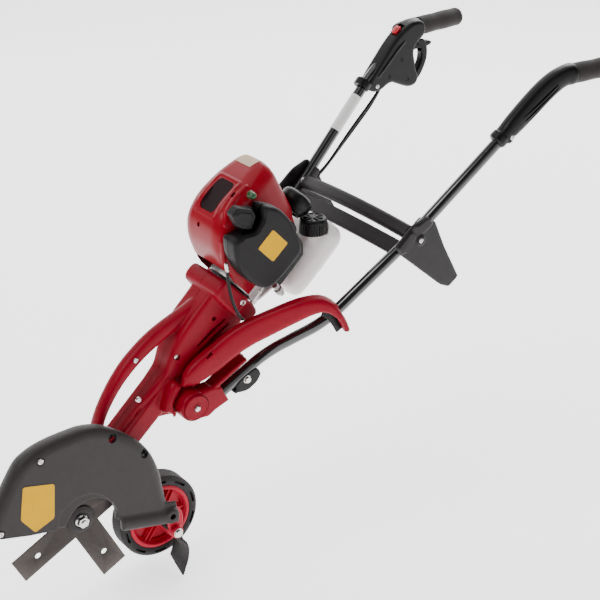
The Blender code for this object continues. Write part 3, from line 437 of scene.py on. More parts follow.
def box(t0, t1, s0, s1, n0, n1, r=0.0):
    poly = [exz(t0, s0), exz(t1, s0), exz(t1, s1), exz(t0, s1)]
    return rounded(poly, n0, n1, r, r, 3) if r else prism(poly, [(n0, 0), (n1, 0)])


def rod(cx, cz, r, n0, n1, segs=32):
    return prism(circle(cx, cz, r, segs), [(n0, 0), (n1, 0)])


def raw(name, bm):
    for v in bm.verts:
        v.co = P(v.co.x, v.co.y, v.co.z)
    bmesh.ops.remove_doubles(bm, verts=bm.verts, dist=0.00001)
    bmesh.ops.recalc_face_normals(bm, faces=bm.faces)
    me = bpy.data.meshes.new(name)
    bm.to_mesh(me)
    bm.free()
    ob = bpy.data.objects.new(name, me)
    bpy.context.scene.collection.objects.link(ob)
    return ob


def gather(name, bms):
    """Several closed shapes in one object, each oriented by itself."""
    obs = [raw(name + "_tmp", b) for b in bms]
    bm = bmesh.new()
    for o in obs:
        bm.from_mesh(o.data)
    me = bpy.data.meshes.new(name)
    bm.to_mesh(me)
    bm.free()
    for o in obs:
        d = o.data
        bpy.data.objects.remove(o, do_unlink=True)
        bpy.data.meshes.remove(d)
    ob = bpy.data.objects.new(name, me)
    bpy.context.scene.collection.objects.link(ob)
    return ob


def bake(ob):
    """Replace the object's mesh by its evaluated one."""
    dg = bpy.context.evaluated_depsgraph_get()
    dg.update()
    me = bpy.data.meshes.new_from_object(ob.evaluated_get(dg))
    ob.modifiers.clear()
    old = ob.data
    ob.data = me
    bpy.data.meshes.remove(old)
    me.name = ob.name
    return ob


def boolean(ob, bm, kind='DIFFERENCE'):
    """Cut or join one shape: the quick solver, or the slow one if the quick one changes nothing."""
    tool = raw("tool", bm)
    before = (len(ob.data.vertices), len(ob.data.polygons))
    for solver in ('MANIFOLD', 'EXACT'):
        mod = ob.modifiers.new("b", 'BOOLEAN')
        mod.operation = kind
        mod.solver = solver
        mod.object = tool
        bake(ob)
        if (len(ob.data.vertices), len(ob.data.polygons)) != before:
            break
    d = tool.data
    bpy.data.objects.remove(tool, do_unlink=True)
    bpy.data.meshes.remove(d)
    return ob


def melt(ob, voxel=1.2, iters=8, factor=0.5):
    """Fuse overlapping shapes into one skin with soft fillets."""
    m = ob.modifiers.new("r", 'REMESH')
    m.mode = 'VOXEL'
    m.voxel_size = voxel * MM * 1.15
    m.use_smooth_shade = True
    if iters:
        s = ob.modifiers.new("s", 'SMOOTH')
        s.iterations = iters
        s.factor = factor
    return bake(ob)


def bevel(ob, width, segs=2, angle=35):
    m = ob.modifiers.new("v", 'BEVEL')
    m.width = width * MM
    m.segments = segs
    m.limit_method = 'ANGLE'
    m.angle_limit = math.radians(angle)
    m.use_clamp_overlap = True
    return bake(ob)


def subsurf(ob, levels=1):
    m = ob.modifiers.new("u", 'SUBSURF')
    m.levels = levels
    m.render_levels = levels
    return bake(ob)


def done(ob, mat, body, nodes=(), deg=35, flat=False):
    ob.data.materials.clear()
    ob.data.materials.append(mat)
    if not flat:
        ob.data.shade_smooth()
        if deg:
            ob.data.set_sharp_from_angle(angle=math.radians(deg))
    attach(ob, body)
    if nodes:
        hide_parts(*nodes)
    return ob


def simple(name, bm, mat, body, nodes=(), bev=0.0, segs=2, deg=35, ang=35):
    ob = raw(name, bm)
    if bev:
        bevel(ob, bev, segs, ang)
    return done(ob, mat, body, nodes, deg)


def screw(name, x, z, n, body, r=4.2, h=2.6, sg=1, axis=None, mat=None):
    """Domed screw head with a cross recess, standing on n and facing outwards."""
    ax = axis or (0, sg, 0)
    o = Vector((x, sg * n, z)) if axis is None else Vector((x, n, z))
    prof = [(0, -1.5), (r, -1.5), (r, h * 0.45), (r * 0.93, h * 0.72), (r * 0.72, h * 0.92), (r * 0.45, h), (0, h)]
    ob = raw(name, lathe(prof, o, ax, 28))
    d, u, w = frame_for(ax)
    for a, b in ((u, w), (w, u)):
        cs = [o + d * (h - 1.3) + a * (sx * r * 0.52) + b * (sy * r * 0.12) for sx, sy in ((-1, -1), (1, -1), (1, 1), (-1, 1))]
        top = [c + d * 3 for c in cs]
        boolean(ob, loft([cs, top]))
    return done(ob, mat or STEEL, body, (), 30)


def carve(ob, bms):
    """Cut several shapes away, one after another."""
    for bm in bms:
        boolean(ob, bm)
    return ob


def section(t, n0, n1, s0, s1, r, k=8):
    pts = []
    for cn, cs, a0 in ((n1 - r, s1 - r, 0), (n0 + r, s1 - r, 90), (n0 + r, s0 + r, 180), (n1 - r, s0 + r, 270)):
        for i in range(k + 1):
            a = math.radians(a0 + 90 * i / k)
            pts.append(E(t, cs + r * math.sin(a), cn + r * math.cos(a)))
    return pts


def lerp_rows(rows, t):
    for a, b in zip(rows, rows[1:]):
        if a[0] <= t <= b[0]:
            f = (t - a[0]) / (b[0] - a[0])
            return tuple(x + (y - x) * f for x, y in zip(a, b))
    return rows[-1] if t > rows[-1][0] else rows[0]


def plane_patch(name, poly3, thick, normal, mat, body, bev=0.0):
    """Thin flat label: corner points in design mm, raised along normal."""
    nv = Vector(normal).normalized()
    a = [Vector(p) for p in poly3]
    ob = raw(name, loft([[p for p in a], [p + nv * thick for p in a]]))
    if bev:
        bevel(ob, bev, 2, 30)
    return done(ob, mat, body, (), 30)


def finish_cad(names, mat):
    for nm in names:
        o = bpy.data.objects.get(nm)
        if o is None:
            continue
        if not o.material_slots:
            o.data.materials.append(mat)
        for ms in o.material_slots:
            ms.material = mat


# ============================================================== blade set
cross = []
for k in range(4):
    a = math.radians(26.5 + 90 * k)
    for x, z in ((22.5, -22.5), (122, -22.5), (122, 22.5)):
        cross.append((HUB_X + x * math.cos(a) - z * math.sin(a), HUB_Z + x * math.sin(a) + z * math.cos(a)))
ob = raw("edging_blade", prism(cross, [(45.5, 0), (48.5, 0)]))
carve(ob, [rod(HUB_X, HUB_Z, 10.35, 40, 55, 48)]
      + [rod(HUB_X + 84 * math.cos(math.radians(26.5 + 90 * k)), HUB_Z + 84 * math.sin(math.radians(26.5 + 90 * k)),
             5.2, 40, 55, 32) for k in range(4)])
bevel(ob, 0.45, 2, 40)
done(ob, BLADE, "blade_set", ["blade"], 30)

teeth = lambda i, h, r: (-0.10 * r if i % 2 == 0 and -13.9 < h < -5.9 else 0.0)
thread = []
for k in range(11):
    thread += [(5.0, 52 + k * 1.15), (4.5, 52.55 + k * 1.15)]
simple("blade_spindle_turned", lathe(
    [(0, -17.5), (6, -17.5), (6, -14), (15.2, -13.8), (15.6, -11.9), (8.6, -6.4), (6, -5.8), (6, 11), (9.9, 11.5),
     (9.9, 40), (22, 40.5), (22, 45.1), (10, 45.2), (10, 48.3), (5, 48.5)] + thread + [(4.2, 64.2), (0, 64.4)],
    HUB, SIDE, 36, teeth), STEEL, "blade_set", ["blade_spindle"], deg=30)
simple("blade_clamp_washer", lathe(
    [(5.35, 48.85), (23.3, 48.85), (23.8, 49.3), (23.8, 50.6), (23.2, 51.3), (21.0, 51.7), (19.4, 52.5), (14.4, 53.1),
     (13.2, 52.9), (12.2, 52.2), (11.8, 51.6), (5.35, 51.6)], HUB, SIDE, 72), DISH, "blade_set", ["blade_washer"],
    deg=30)
flange_nut = lathe([(5.1, 52.0), (10.0, 52.0), (10.6, 52.4), (10.6, 53.2), (9.6, 54.4), (8.6, 54.9), (5.1, 54.9)], HUB, SIDE, 48)
hexa = rounded(circle(HUB_X, HUB_Z, 9.6, 6, 12), 53.6, 61.8, 0, 0.9, 3)
ob = gather("blade_flange_nut", [flange_nut, hexa])
done(ob, STEEL, "blade_set", ["blade_nut"], 25)

# ================================================================ gearbox
ob = raw("gearbox_case", lathe([(0, -25), (20, -25), (22.6, -24.5), (28.3, -20.8), (29, -19), (29, 21.0), (28.6, 21.4),
                                (0, 21.4)], HUB, SIDE, 72))
boolean(ob, lathe([(0, 16), (18.5, 16), (18.5, 64.8), (17.8, 66), (0, 66)], HUB, DRIVE, 56), 'UNION')
for k in range(3):
    boolean(ob, lathe([(0, 38 + 8 * k), (20.4, 38 + 8 * k), (20.4, 40.5 + 8 * k), (0, 40.5 + 8 * k)], HUB, DRIVE, 56), 'UNION')
boolean(ob, lathe([(0, -19.5), (24, -19.5), (24, 30), (0, 30)], HUB, SIDE, 72))
boolean(ob, lathe([(0, 4), (12.4, 4), (12.4, 80), (0, 80)], HUB, DRIVE, 56))
done(ob, ALU, "chassis", ["gearbox_housing"], 30)
simple("gearbox_lid", lathe([(10.4, 14), (23.6, 14), (23.6, 20.2), (23.0, 20.9), (19, 20.9), (18.4, 20.3), (13, 20.3),
                             (12.4, 20.9), (10.4, 20.9)], HUB, SIDE, 72), ALU, "chassis", ["gearbox_cover"],
       deg=30)

# ================================================================ chassis
upper_out = [(381, 47), (360, 54), (320, 69), (290, 78), (258, 82.5), (225, 83), (190, 77.5), (160, 69), (137, 60),
             (112, 47), (88, 32), (74, 20)]
upper_in = [(74, 2), (98, 14), (122, 31), (144, 46), (175, 56), (211, 61), (253, 59), (294, 49.5), (318, 42), (345, 30),
            (380, 24)]


def resample(line, count):
    pts = [Vector(p) for p in spline(line, 6)]
    seg = [0.0]
    for a, b in zip(pts, pts[1:]):
        seg.append(seg[-1] + (b - a).length)
    out, j = [], 0
    for i in range(count):
        d = seg[-1] * i / (count - 1)
        while j < len(seg) - 2 and seg[j + 1] < d:
            j += 1
        f = (d - seg[j]) / max(1e-9, seg[j + 1] - seg[j])
        out.append(pts[j].lerp(pts[j + 1], max(0.0, min(1.0, f))))
    return out


hi, lo = resample(upper_out[::-1], 60), resample(upper_in, 60)
limb_loops = []
for a, b in zip(hi, lo):
    c, h = (a + b) / 2, (a - b) / 2
    lp = []
    for i in range(32):
        co, si = math.cos(2 * math.pi * i / 32), math.sin(2 * math.pi * i / 32)
        co = math.copysign(abs(co) ** 0.82, co)
        si = math.copysign(abs(si) ** 0.82, si)
        q = c + h * co
        lp.append(E(q.x, q.y, 13.0 * si))
    limb_loops.append(lp)
limb = [exz(t, s) for t, s in ((70, -22), (150, -24), (202, -29), (240, -34), (330, -34), (330, 10.5), (70, 10.5))]
limb_rim = [exz(t, s) for t, s in ((70, 12), (330, 12), (330, 18.5), (70, 18.5))]
limb_floor = [exz(t, s) for t, s in ((70, 5), (330, 5), (330, 17), (70, 17))]
panel = chaikin([exz(t, s) for t, s in ((64, -24), (150, -25), (232, -27), (258, -24), (268, -12), (266, 0), (254, 7.5),
                                         (150, 7.5), (64, 7))], 3)
body_rows = [(192, 17, -26, 16, 5), (208, 19, -42, 17, 6), (222, 20, -60, 17, 7), (240, 21, -67, 18, 7),
             (262, 23, -65, 20, 8), (286, 26, -51, 31, 9), (314, 29, -48, 41, 9), (345, 30, -46, 46, 9),
             (380, 30, -42, 47, 9), (408, 31, -38, 48, 9)]
body_fine = spline(body_rows, 5)
flange = chaikin([exz(t, s) for t, s in ((398, -30), (408, -38), (431.5, -38), (431.5, 50), (424, 57), (404, 57), (396, 46))], 2)
ear = circle(FOLD_X, FOLD_Z, 26, 64)
lobe = [(2, 276), (14, 273), (26, 263)] + arc(FOLD_X, FOLD_Z, 28.3, 218, 112, 24) + [(36, 322), (20, 324)]

arm_line = [
    (44, 41, 320, 7, 6), (52, 42, 326, 14, 9.5), (70, 43, 337, 19, 11.5), (97, 45, 350, 20.5, 12.5),
    (124, 51, 368, 20.5, 12.5), (149, 64, 386, 20.5, 12.5), (167, 78, 399, 20, 12.5), (186, 93, 412, 19, 12.5),
    (205, 107, 424, 18, 13), (224, 119, 433, 16, 13), (242, 129, 436, 13, 13.5), (256, 138, 430, 9, 12.5),
    (266, 145, 417, 6, 9.5), (274, 147, 402, 5, 8.5), (280, 148, 387, 4.5, 8)]


def arm_loops(rows, sg, segs=28, q=0.66, grow=0.0):
    pts = [Vector((x, sg * n, z)) for x, n, z, _, _ in rows]
    loops = []
    for i, (x, n, z, hh, hw) in enumerate(rows):
        t = (pts[min(i + 1, len(pts) - 1)] - pts[max(i - 1, 0)]).normalized()
        side = Vector((-t.y, t.x, 0))
        side = Vector((0.0, 1.0, 0.0)) if side.length < 0.2 else side
        side = (side - t * side.dot(t)).normalized()
        up = t.cross(side).normalized()
        lp = []
        for k in range(segs):
            a = 2 * math.pi * (k + 0.5) / segs
            c, s = math.cos(a), math.sin(a)
            lp.append(pts[i] + side * ((hw + grow) * math.copysign(abs(c) ** q, c))
                      + up * ((hh + grow) * math.copysign(abs(s) ** q, s)))
        loops.append(lp)
    return loops


arm_fine = spline([(38, 40.5, 315.5, 1.5, 1.5)] + arm_line, 6)
drive_bore = lathe([(0, 60), (12.4, 60), (12.4, 402), (33, 403), (33, 425), (47, 426), (47, 440), (0, 440)],
                   HUB, DRIVE, 64)
shapes = [loft(limb_loops),
          rounded(limb, -18, 18, 4, 4), rounded(limb_rim, -17, 17, 3, 3), rounded(limb_floor, -10, 10, 1, 1),
          rounded(panel, -23, 23, 3.5, 3.5, 5),
          loft([section(t, -n, n, s0, s1, r, 8) for t, n, s0, s1, r in body_fine]),
          rounded(flange, -48, 48, 6, 6), rounded(ear, -30.6, 30.6, 2, 2)]
for sg in (1, -1):
    shapes.append(rounded(chaikin(lobe, 2), sg * 4, 43 if sg > 0 else -30, 0, 10 if sg > 0 else 5, 6))
    # root pod that carries the support arm
    pod = [r for r in arm_fine if r[0] < 106]
    shapes.append(loft(arm_loops(pod, sg, grow=0.5)))
    # screw bosses behind the engine flange
    shapes.append(lathe([(0, 0), (8.5, 0), (8.5, 30), (7.5, 31.2), (0, 31.2)], E(400, 2, sg * 41), DRIVE, 32))
ob = gather("chassis_moulding", shapes)
melt(ob, 1.15, 9, 0.5)
cuts = [drive_bore]
for sg in (1, -1):
    for (t0, s0), (t1, s1) in (((321.6, 6.3), (384, -5.1)), ((316, -4.6), (383, -16.9))):
        line = [E(t0, s0, sg * 37), E((t0 + t1) / 2, (s0 + s1) / 2 + 0.8, sg * 37), E(t1, s1, sg * 37)]
        pts = [Vector(p) for p in spline(line, 8)]
        lp = []
        for i, p in enumerate(pts):
            w = 3.2 * min(1.0, 0.45 + 1.2 * min(i, len(pts) - 1 - i) / len(pts))
            lp.append([(p.x + w * SA, sg * 16, p.z - w * CA), (p.x - w * SA, sg * 16, p.z + w * CA),
                       (p.x - w * SA, sg * 60, p.z + w * CA), (p.x + w * SA, sg * 60, p.z - w * CA)])
        cuts.append(loft(lp))
    for x, z, r in ((104.0, 481.0, 3.6), (107.3, 409.1, 3.9)):
        cuts.append(lathe([(0, 20), (r, 20), (r, 60), (0, 60)], (x, 0, z), (0, sg, 0), 32))
    for x, z in ((-26.2, 368.7), (40.1, 359.4), (-27.3, 301.1)):
        cuts.append(lathe([(0, 9), (5.2, 9), (5.2, 40), (0, 40)], (x, 0, z), (0, sg, 0), 32))
cuts.append(rod(FOLD_X, FOLD_Z, 5.35, -50, 50, 32))
cuts.append(box(60, 440, -90, 120, -0.22, 0.22))
carve(ob, cuts)
done(ob, RED, "chassis", ["chassis_left_shell", "chassis_right_shell"], 38)

done(screw("chassis_screw_head_upper", 40.1, 359.4, 21.0, "chassis", 4.6, 3.0), STEEL, "chassis",
     ["chassis_screw_upper"], 30)
done(screw("chassis_screw_head_lower", -27.3, 301.1, 15.2, "chassis", 4.6, 3.0), STEEL, "chassis",
     ["chassis_screw_lower"], 30)
screw("chassis_limb_screw", -26.2, 368.7, 11.0, "chassis", 4.4, 2.6)
q = E(420, 2, 0)
screw("flange_screw", q[0], q[2], 47.4, "chassis", 5.0, 2.6)


# ------------------------------------------------------------ support arms
SL = 0.514
tube_pts = [(86, 50, 289 - 20 * SL), (190, 50, 289 + 84 * SL), (257, 123, 399), (406, 148, 513), (568, 177, 659),
            (618, 183.6, 697)]


def tube_path(sg, extra=0.0, steps=12):
    pts = [Vector((x, sg * n, z)) for x, n, z in tube_pts]
    pts[0] -= (pts[1] - pts[0]).normalized() * extra
    pts[-1] += (pts[-1] - pts[-2]).normalized() * extra
    return rounded_path(pts, 34, steps)


def tube_bore(sg, r=10.2):
    return sweep(tube_path(sg, 0.8), r, 32)


def add_arm(name, sg, cad):
    o = gather(name, [loft(arm_loops([r for r in arm_fine if r[0] > 96], sg))])
    melt(o, 1.1, 5, 0.5)
    seam = Vector((0.83, 0.0, 0.55))
    a, b, c = Vector((106, 0, 356)), Vector((0, 1, 0)), Vector((-0.55, 0, 0.83))
    quad = [a + b * (sg * 20) - c * 30, a + b * (sg * 80) - c * 30, a + b * (sg * 80) + c * 30, a + b * (sg * 20) + c * 30]
    holes = [lathe([(0, 40), (3.6, 40), (3.6, 75), (0, 75)], (x, 0, z), (0, sg, 0), 28) for x, z in ((137, 343),)]
    carve(o, [tube_bore(sg, 10.3)] + holes)
    done(o, RED, "chassis", [cad], 38)
    liner = []
    ln = spline([(247, 134.2, 427), (258, 136.6, 418), (268, 137.9, 404), (277, 138.6, 388)], 8)
    for i, (x, n, z) in enumerate(ln):
        p0, p1 = ln[max(i - 1, 0)], ln[min(i + 1, len(ln) - 1)]
        d = Vector((p1[0] - p0[0], 0, p1[2] - p0[2])).normalized()
        w = Vector((-d.z, 0, d.x))
        c = Vector((x, sg * n, z))
        lp = []
        for k in range(20):
            u, v = math.cos(2 * math.pi * k / 20), math.sin(2 * math.pi * k / 20)
            lp.append(c + w * (11.4 * math.copysign(abs(u) ** 0.5, u)) + Vector((0, 1, 0)) * (1.7 * math.copysign(abs(v) ** 0.6, v)))
        liner.append(lp)
    o = raw(name + "_liner", loft(liner))
    done(o, BLACK, "chassis", (), 40)


add_arm("support_arm_left", 1, "left_support_arm")
add_arm("support_arm_right", -1, "right_support_arm")

# =================================================================== guard
OB = [(-311, 150), (-312, 198), (-306, 216), (-289, 244), (-263, 283), (-244, 297), (-222, 305), (-199, 309),
      (-172, 311), (-146, 311), (-117, 303.5), (-86, 284), (-57, 259), (-38.5, 234), (-28.5, 212), (-21, 187),
      (-16.5, 160), (-12, 136), (-5, 123), (0, 117)]
big = spline(OB, 5) + [(4, 104), (4, 60), (-311, 60)]
layers = [(28, -13), (33, -8), (38, -4.2), (44, -1.5), (50, -0.3), (56, 0), (60, -0.6), (63.2, -2.4), (65.8, -5.4),
          (67.6, -9.2), (68.6, -12.6), (69, -16)]
ob = raw("guard_moulding", prism(big, layers))
arch = [(-99, 140), (-110, 168), (-126, 188), (-146, 200), (-170, 201), (-191, 192), (-202, 180), (-207, 158),
        (-253, 166), (-300, 178), (-345, 187), (-345, 20), (45, 20), (45, 97), (2, 95), (-8, 92), (-57, 103), (-97, 112)]
arch_s = spline([(-99, 132)] + [(-99, 140), (-110, 168), (-126, 188), (-146, 200), (-170, 201), (-191, 192), (-202, 180),
                               (-207, 158)], 5) + arch[8:]
cav_top = [(-307, 170), (-308.5, 198), (-302.5, 215), (-286, 242), (-260, 280), (-242, 293.5), (-221, 301.5), (-199, 305.5),
           (-172, 307), (-147, 306.8), (-119, 299.5), (-89, 281), (-60.5, 256.5), (-42.5, 232), (-32.5, 210), (-25, 186),
           (-20.5, 158), (-20, 80)]
cavity = chaikin(cav_top + [(-97, 60), (-207, 60), (-307, 120)], 2)
carve(ob, [prism(cavity, [(20, -13), (28.5, -13), (36, -5.5), (44, -2.0), (58, -1.5), (62, -5), (65, -12)])])
carve(ob, [prism(arch_s, [(10, 0), (90, 0)])])
rim_out = arc(-150, 150, 62, 172, -22, 40)
rim_in = arc(-148, 143, 44, -10, 165, 40)
tail_loops = []
for i in range(25):
    x = -97.5 + 100.5 * i / 24
    z0 = 112 - (x + 97) * (20 / 89.0)
    prof = [(0.5, 60), (0, 66), (1.2, 70.4), (4.5, 73.8), (9.5, 75.2), (15, 75.0), (20, 73.2), (24, 70.8), (28, 68.9),
            (33, 67.6), (39, 67.0), (39, 63), (20, 62)]
    tail_loops.append([(x, n, z0 + h) for h, n in prof])
parts = [tail for tail in (loft(tail_loops), rounded(circle(-8.5, 107, 14.2, 48), 60, 75.2, 0, 5.5, 5),
                           prism(rim_out + rim_in, [(56, 0), (63.6, 0), (64.6, -0.7)]))]
tmp = gather("guard_parts", parts)
bm = bmesh.new()
bm.from_mesh(ob.data)
bm.from_mesh(tmp.data)
bm.to_mesh(ob.data)
bm.free()
bpy.data.objects.remove(tmp, do_unlink=True)
melt(ob, 1.15, 6, 0.5)
carve(ob, [rod(-104.5, 283, 4.4, 55, 80, 32), rod(-49.7, 236.7, 4.4, 55, 80, 32), rod(-8.5, 107.5, 5.2, 62, 80, 32),
           rod(-104.5, 283, 7.6, 61.5, 80, 40), rod(-49.7, 236.7, 7.6, 61.5, 80, 40), rod(-226.3, 286.5, 7.2, 66.8, 80, 40),
           rod(-299.5, 187, 7.0, 67.0, 80, 40), rod(-8, 107, 4.6, 20, 61, 24),
           prism(arc(-8, 107, 40, -80, 50, 16) + [(-30, 150), (-60, 100), (-60, 70)], [(20, 0), (63.5, 0)])])
done(ob, GREY, "chassis", ["guard_outer_shell"], 38)
# near-black discs at the bottom of the two guard holes: painted shade
ob = gather("guard_hole_painted_shade", [lathe([(0, 56.2), (6.2, 56.2), (6.2, 57.2), (0, 57.2)], (x, 0, z), SIDE, 24)
                                for x, z in ((-104.5, 283), (-49.7, 236.7))])
done(ob, PAINTED_SHADE, "chassis", (), 40)
back = [(-290, 200), (-272, 236), (-250, 264), (-218, 284), (-172, 288), (-142, 282), (-114, 267),
        (-86, 242), (-64, 212), (-50, 180), (-47, 160), (-60, 153), (-96, 156), (-118, 160), (-126, 138),
        (-134, 124), (-147, 115), (-159, 113), (-171, 115), (-184, 124), (-192, 138), (-200, 166),
        (-236, 176), (-270, 183)]
ob = raw("guard_back_panel", rounded(chaikin(back, 2), 22, 27.6, 1.2, 0.6))
done(ob, GREY, "chassis", ["guard_back_plate"], 35)
done(screw("guard_screw_head_upper", -226.3, 286.5, 67.2, "chassis", 4.8, 3.6), STEEL, "chassis",
     ["guard_screw_upper"], 30)
done(screw("guard_screw_head_lower", -299.5, 187, 67.2, "chassis", 4.8, 3.6), STEEL, "chassis",
     ["guard_screw_lower"], 30)
pent = [(-259.2, 255.4), (-206.0, 242.4), (-210.9, 182), (-245.2, 168.5), (-267.5, 199.0)]
pent_o = chaikin(pent, 2, 0.06)
plane_patch("guard_label_border", [(x, 69.05, z) for x, z in pent_o], 0.35, (0, 1, 0), AMBER, "chassis")
plane_patch("guard_label", [(x, 69.2, z) for x, z in offset(pent_o, -1.1)], 0.45, (0, 1, 0), YELLOW, "chassis")

# ============================================================ ground wheel
lever = [(-8, 107)]
outer_edge = spline([(-8, 119.5), (6, 122), (18, 112), (24.5, 95), (25.5, 78), (20, 64)], 6)
lever_poly = arc(-8, 107, 12, 92, 215, 14) + spline([(-17.8, 100), (-12, 88), (-9.5, 78)], 5)[1:] \
    + arc(0, 73, 11.2, 160, 350, 18) + spline([(11.2, 72), (16.5, 84), (15.5, 100), (7.5, 114), (-8.4, 119)], 6)[1:]
ob = gather("wheel_arm_moulding", [
    rounded(lever_poly, 57.5, 64.5, 1.0, 2.6), rounded(circle(0, 73, 10.6, 48), 58, 74.2, 0, 2.0),
    rounded(stad := arc(-8, 107, 11, 20, 200, 16) + arc(0, 73, 11, 180, 375, 16), 20.6, 24.6, 0.8, 0.8),
    rod(-8, 107, 9, 21, 60, 40)])
melt(ob, 0.8, 4, 0.5)
carve(ob, [rod(-8, 107, 4.3, 10, 90, 32), rod(0, 73, 5.3, 10, 90, 32)])
done(ob, RIM_RED, "wheel_yoke", ["wheel_arm"], 38)
axle = lathe([(0, -26), (7, -26), (8, -25), (8, -20.5), (5, -20.3), (5, 74.6), (0, 74.6)], (0, 0, 73), SIDE, 48)
head = rounded(circle(0, 73, 7.0, 6, 20), 74.4, 79.0, 0, 1.0, 3)
wash = lathe([(4, 74.2), (8.2, 74.2), (8.2, 75.2), (4, 75.2)], (0, 0, 73), SIDE, 40)
ob = gather("wheel_axle_bolt", [axle, head, wash])
done(ob, STEEL, "wheel_yoke", ["wheel_axle"], 25)
simple("wheel_arm_pivot", lathe([(0, 20.2), (3.4, 20.2), (4, 20.8), (4, 66.6), (3.4, 67.3), (1.8, 67.3), (1.6, 66.2),
                                 (0, 66.2)], (-8, 0, 107), SIDE, 40), BLACK, "chassis", ["wheel_arm_bolt"],
       deg=30)

flap_line = spline([(20.6, 34), (21, 29), (20.4, 19), (18.4, 9), (14, -2)], 6)


def flap_loop(n, line, half):
    left, right = [], []
    for i, (x, z) in enumerate(line):
        a, b = line[max(i - 1, 0)], line[min(i + 1, len(line) - 1)]
        d = Vector((b[0] - a[0], b[1] - a[1])).normalized()
        left.append((x - d.y * half, n, z + d.x * half))
        right.append((x + d.y * half, n, z - d.x * half))
    return left + right[::-1]


upper_flap = spline([(10, 60), (17, 45), (20.6, 34)], 6)
rows = []
for i in range(17):
    f = i / 16
    n = 22.5 + 47.5 * f
    d = 1 + 14.2 * f ** 0.9
    up = upper_flap if f < 0.74 else upper_flap[6:]
    rows.append(flap_loop(n, spline([(17, 45), (20.6, 34)], 5)[:-1] + flap_line + [(14 - d * 0.35, -2 - d)], 1.8))
ob = gather("flap_moulding", [
    loft(rows), loft([flap_loop(n, spline([(3, 68), (8.5, 60), (16, 46), (20.6, 32)], 5), 2.6) for n in (25.2, 27, 55, 57)]),
    rounded(circle(0, 73, 9, 40), 25.4, 56.8, 1, 1)])
melt(ob, 0.9, 4, 0.5)
carve(ob, [rod(0, 73, 5.35, 10, 90, 32)])
done(ob, RUBBER, "flap", ["rubber_flap"], 38)

prof = [(57, -17), (60, -18.2), (64, -18.8), (67, -18.2), (69.4, -16.9), (71.4, -14.8)]
for k in range(9):
    n0 = -13.6 + k * 3.05
    prof += [(72.5, n0), (72.5, n0 + 1.75), (71.5, n0 + 2.0), (71.5, n0 + 2.8)]
prof += [(72.5, 13.9), (71.4, 14.9), (69.4, 16.9), (67, 18.2), (64, 18.8), (60, 18.2), (57, 17)]
ob = raw("wheel_tyre", lathe(prof, (0, 0, 73), SIDE, 120))
slots_ = []
for sg in (1, -1):
    for k in range(10):
        a0 = 36 * k + 6
        w = arc(0, 73, 62.2, a0, a0 + 19, 8) + arc(0, 73, 66.4, a0 + 19, a0, 8)
        slots_.append(prism(w, [(sg * 12.5, 0), (sg * 24, 0)]))
carve(ob, slots_)
done(ob, TYRE, "ground_wheel", ["tyre"], 35)
ob = raw("wheel_rim_moulding", lathe(
    [(5.4, -16), (12.2, -16), (13, -15.2), (13.8, 2.5), (16, 4), (46.5, 2.2), (48.6, 0), (50, -14), (51, -15.6),
     (56.4, -16.5), (56.4, 17), (53, 18.4), (50.6, 18.4), (49.2, 17), (47, 11.2), (45, 10), (15, 11.6), (13.6, 13),
     (13, 18.2), (12.2, 18.8), (5.4, 18.8)], (0, 0, 73), SIDE, 120))
wins = []
for k in range(6):
    a0 = 60 * k + 12
    wins.append(prism(arc(0, 73, 21, a0 + 4, a0 + 28, 6) + arc(0, 73, 45.5, a0 + 37, a0 - 5, 10), [(5.5, 0), (30, 0)]))
carve(ob, wins)
ribs_ = []
for k in range(6):
    a = math.radians(60 * k + 12 + 16 + 30)
    ca, sa = math.cos(a), math.sin(a)
    for off in (-4.2, 4.2):
        ribs_.append(loft([[(r * ca - o2 * sa, n, 73 + r * sa + o2 * ca) for r, n in ((12, 10), (48, 10), (48, 14), (12, 17))]
                           for o2 in (off - 0.9, off + 0.9)]))
tmp = gather("rim_ribs", ribs_)
bm = bmesh.new()
bm.from_mesh(ob.data)
bm.from_mesh(tmp.data)
bm.to_mesh(ob.data)
bm.free()
bpy.data.objects.remove(tmp, do_unlink=True)
bevel(ob, 0.7, 2, 40)
done(ob, RIM_RED, "ground_wheel", ["wheel_rim"], 35)

# ================================================================= engine
hood = [(436, -52, 49.5, -36, 50, 18), (445, -57, 50, -40, 78, 24), (458, -59, 50, -42, 104, 26),
        (480, -61, 50, -42, 124, 26), (512, -61, 50, -42, 133, 26), (548, -60, 49, -40, 131, 26),
        (580, -58, 36, -30, 124, 26), (608, -56, 26, -20, 113, 26), (616, -50, 19, -16, 104, 22)]
hood_fine = spline(hood, 7)
inner = [(430, -49, 46.3, -60, 46, 14)] + [(t + 1, a + 3.5, b - 3.5, -60, d - 3.5, r - 3)
                                           for t, a, b, c, d, r in hood[1:7]] + [(612, -50, 20, -60, 106, 20)]


def lean(q):
    """The rear of the engine leans forwards lower down: shift in t at height s."""
    w = max(0.0, min(1.0, (q - 540) / 68.0))
    return lambda s: -0.27 * w * max(0.0, 113 - s)


def tapered(q, k=12):
    f = lean(q[0])
    pts = []
    for cn, cs, a0 in ((q[2] - q[5], q[4] - q[5], 0), (q[1] + q[5], q[4] - q[5], 90),
                       (q[1] + q[5], q[3] + q[5], 180), (q[2] - q[5], q[3] + q[5], 270)):
        for i in range(k + 1):
            a = math.radians(a0 + 90 * i / k)
            s = cs + q[5] * math.sin(a)
            pts.append(E(q[0] + f(s), s, cn + q[5] * math.cos(a)))
    return pts


def top_s(t):
    return lerp_rows(hood, t)[4]


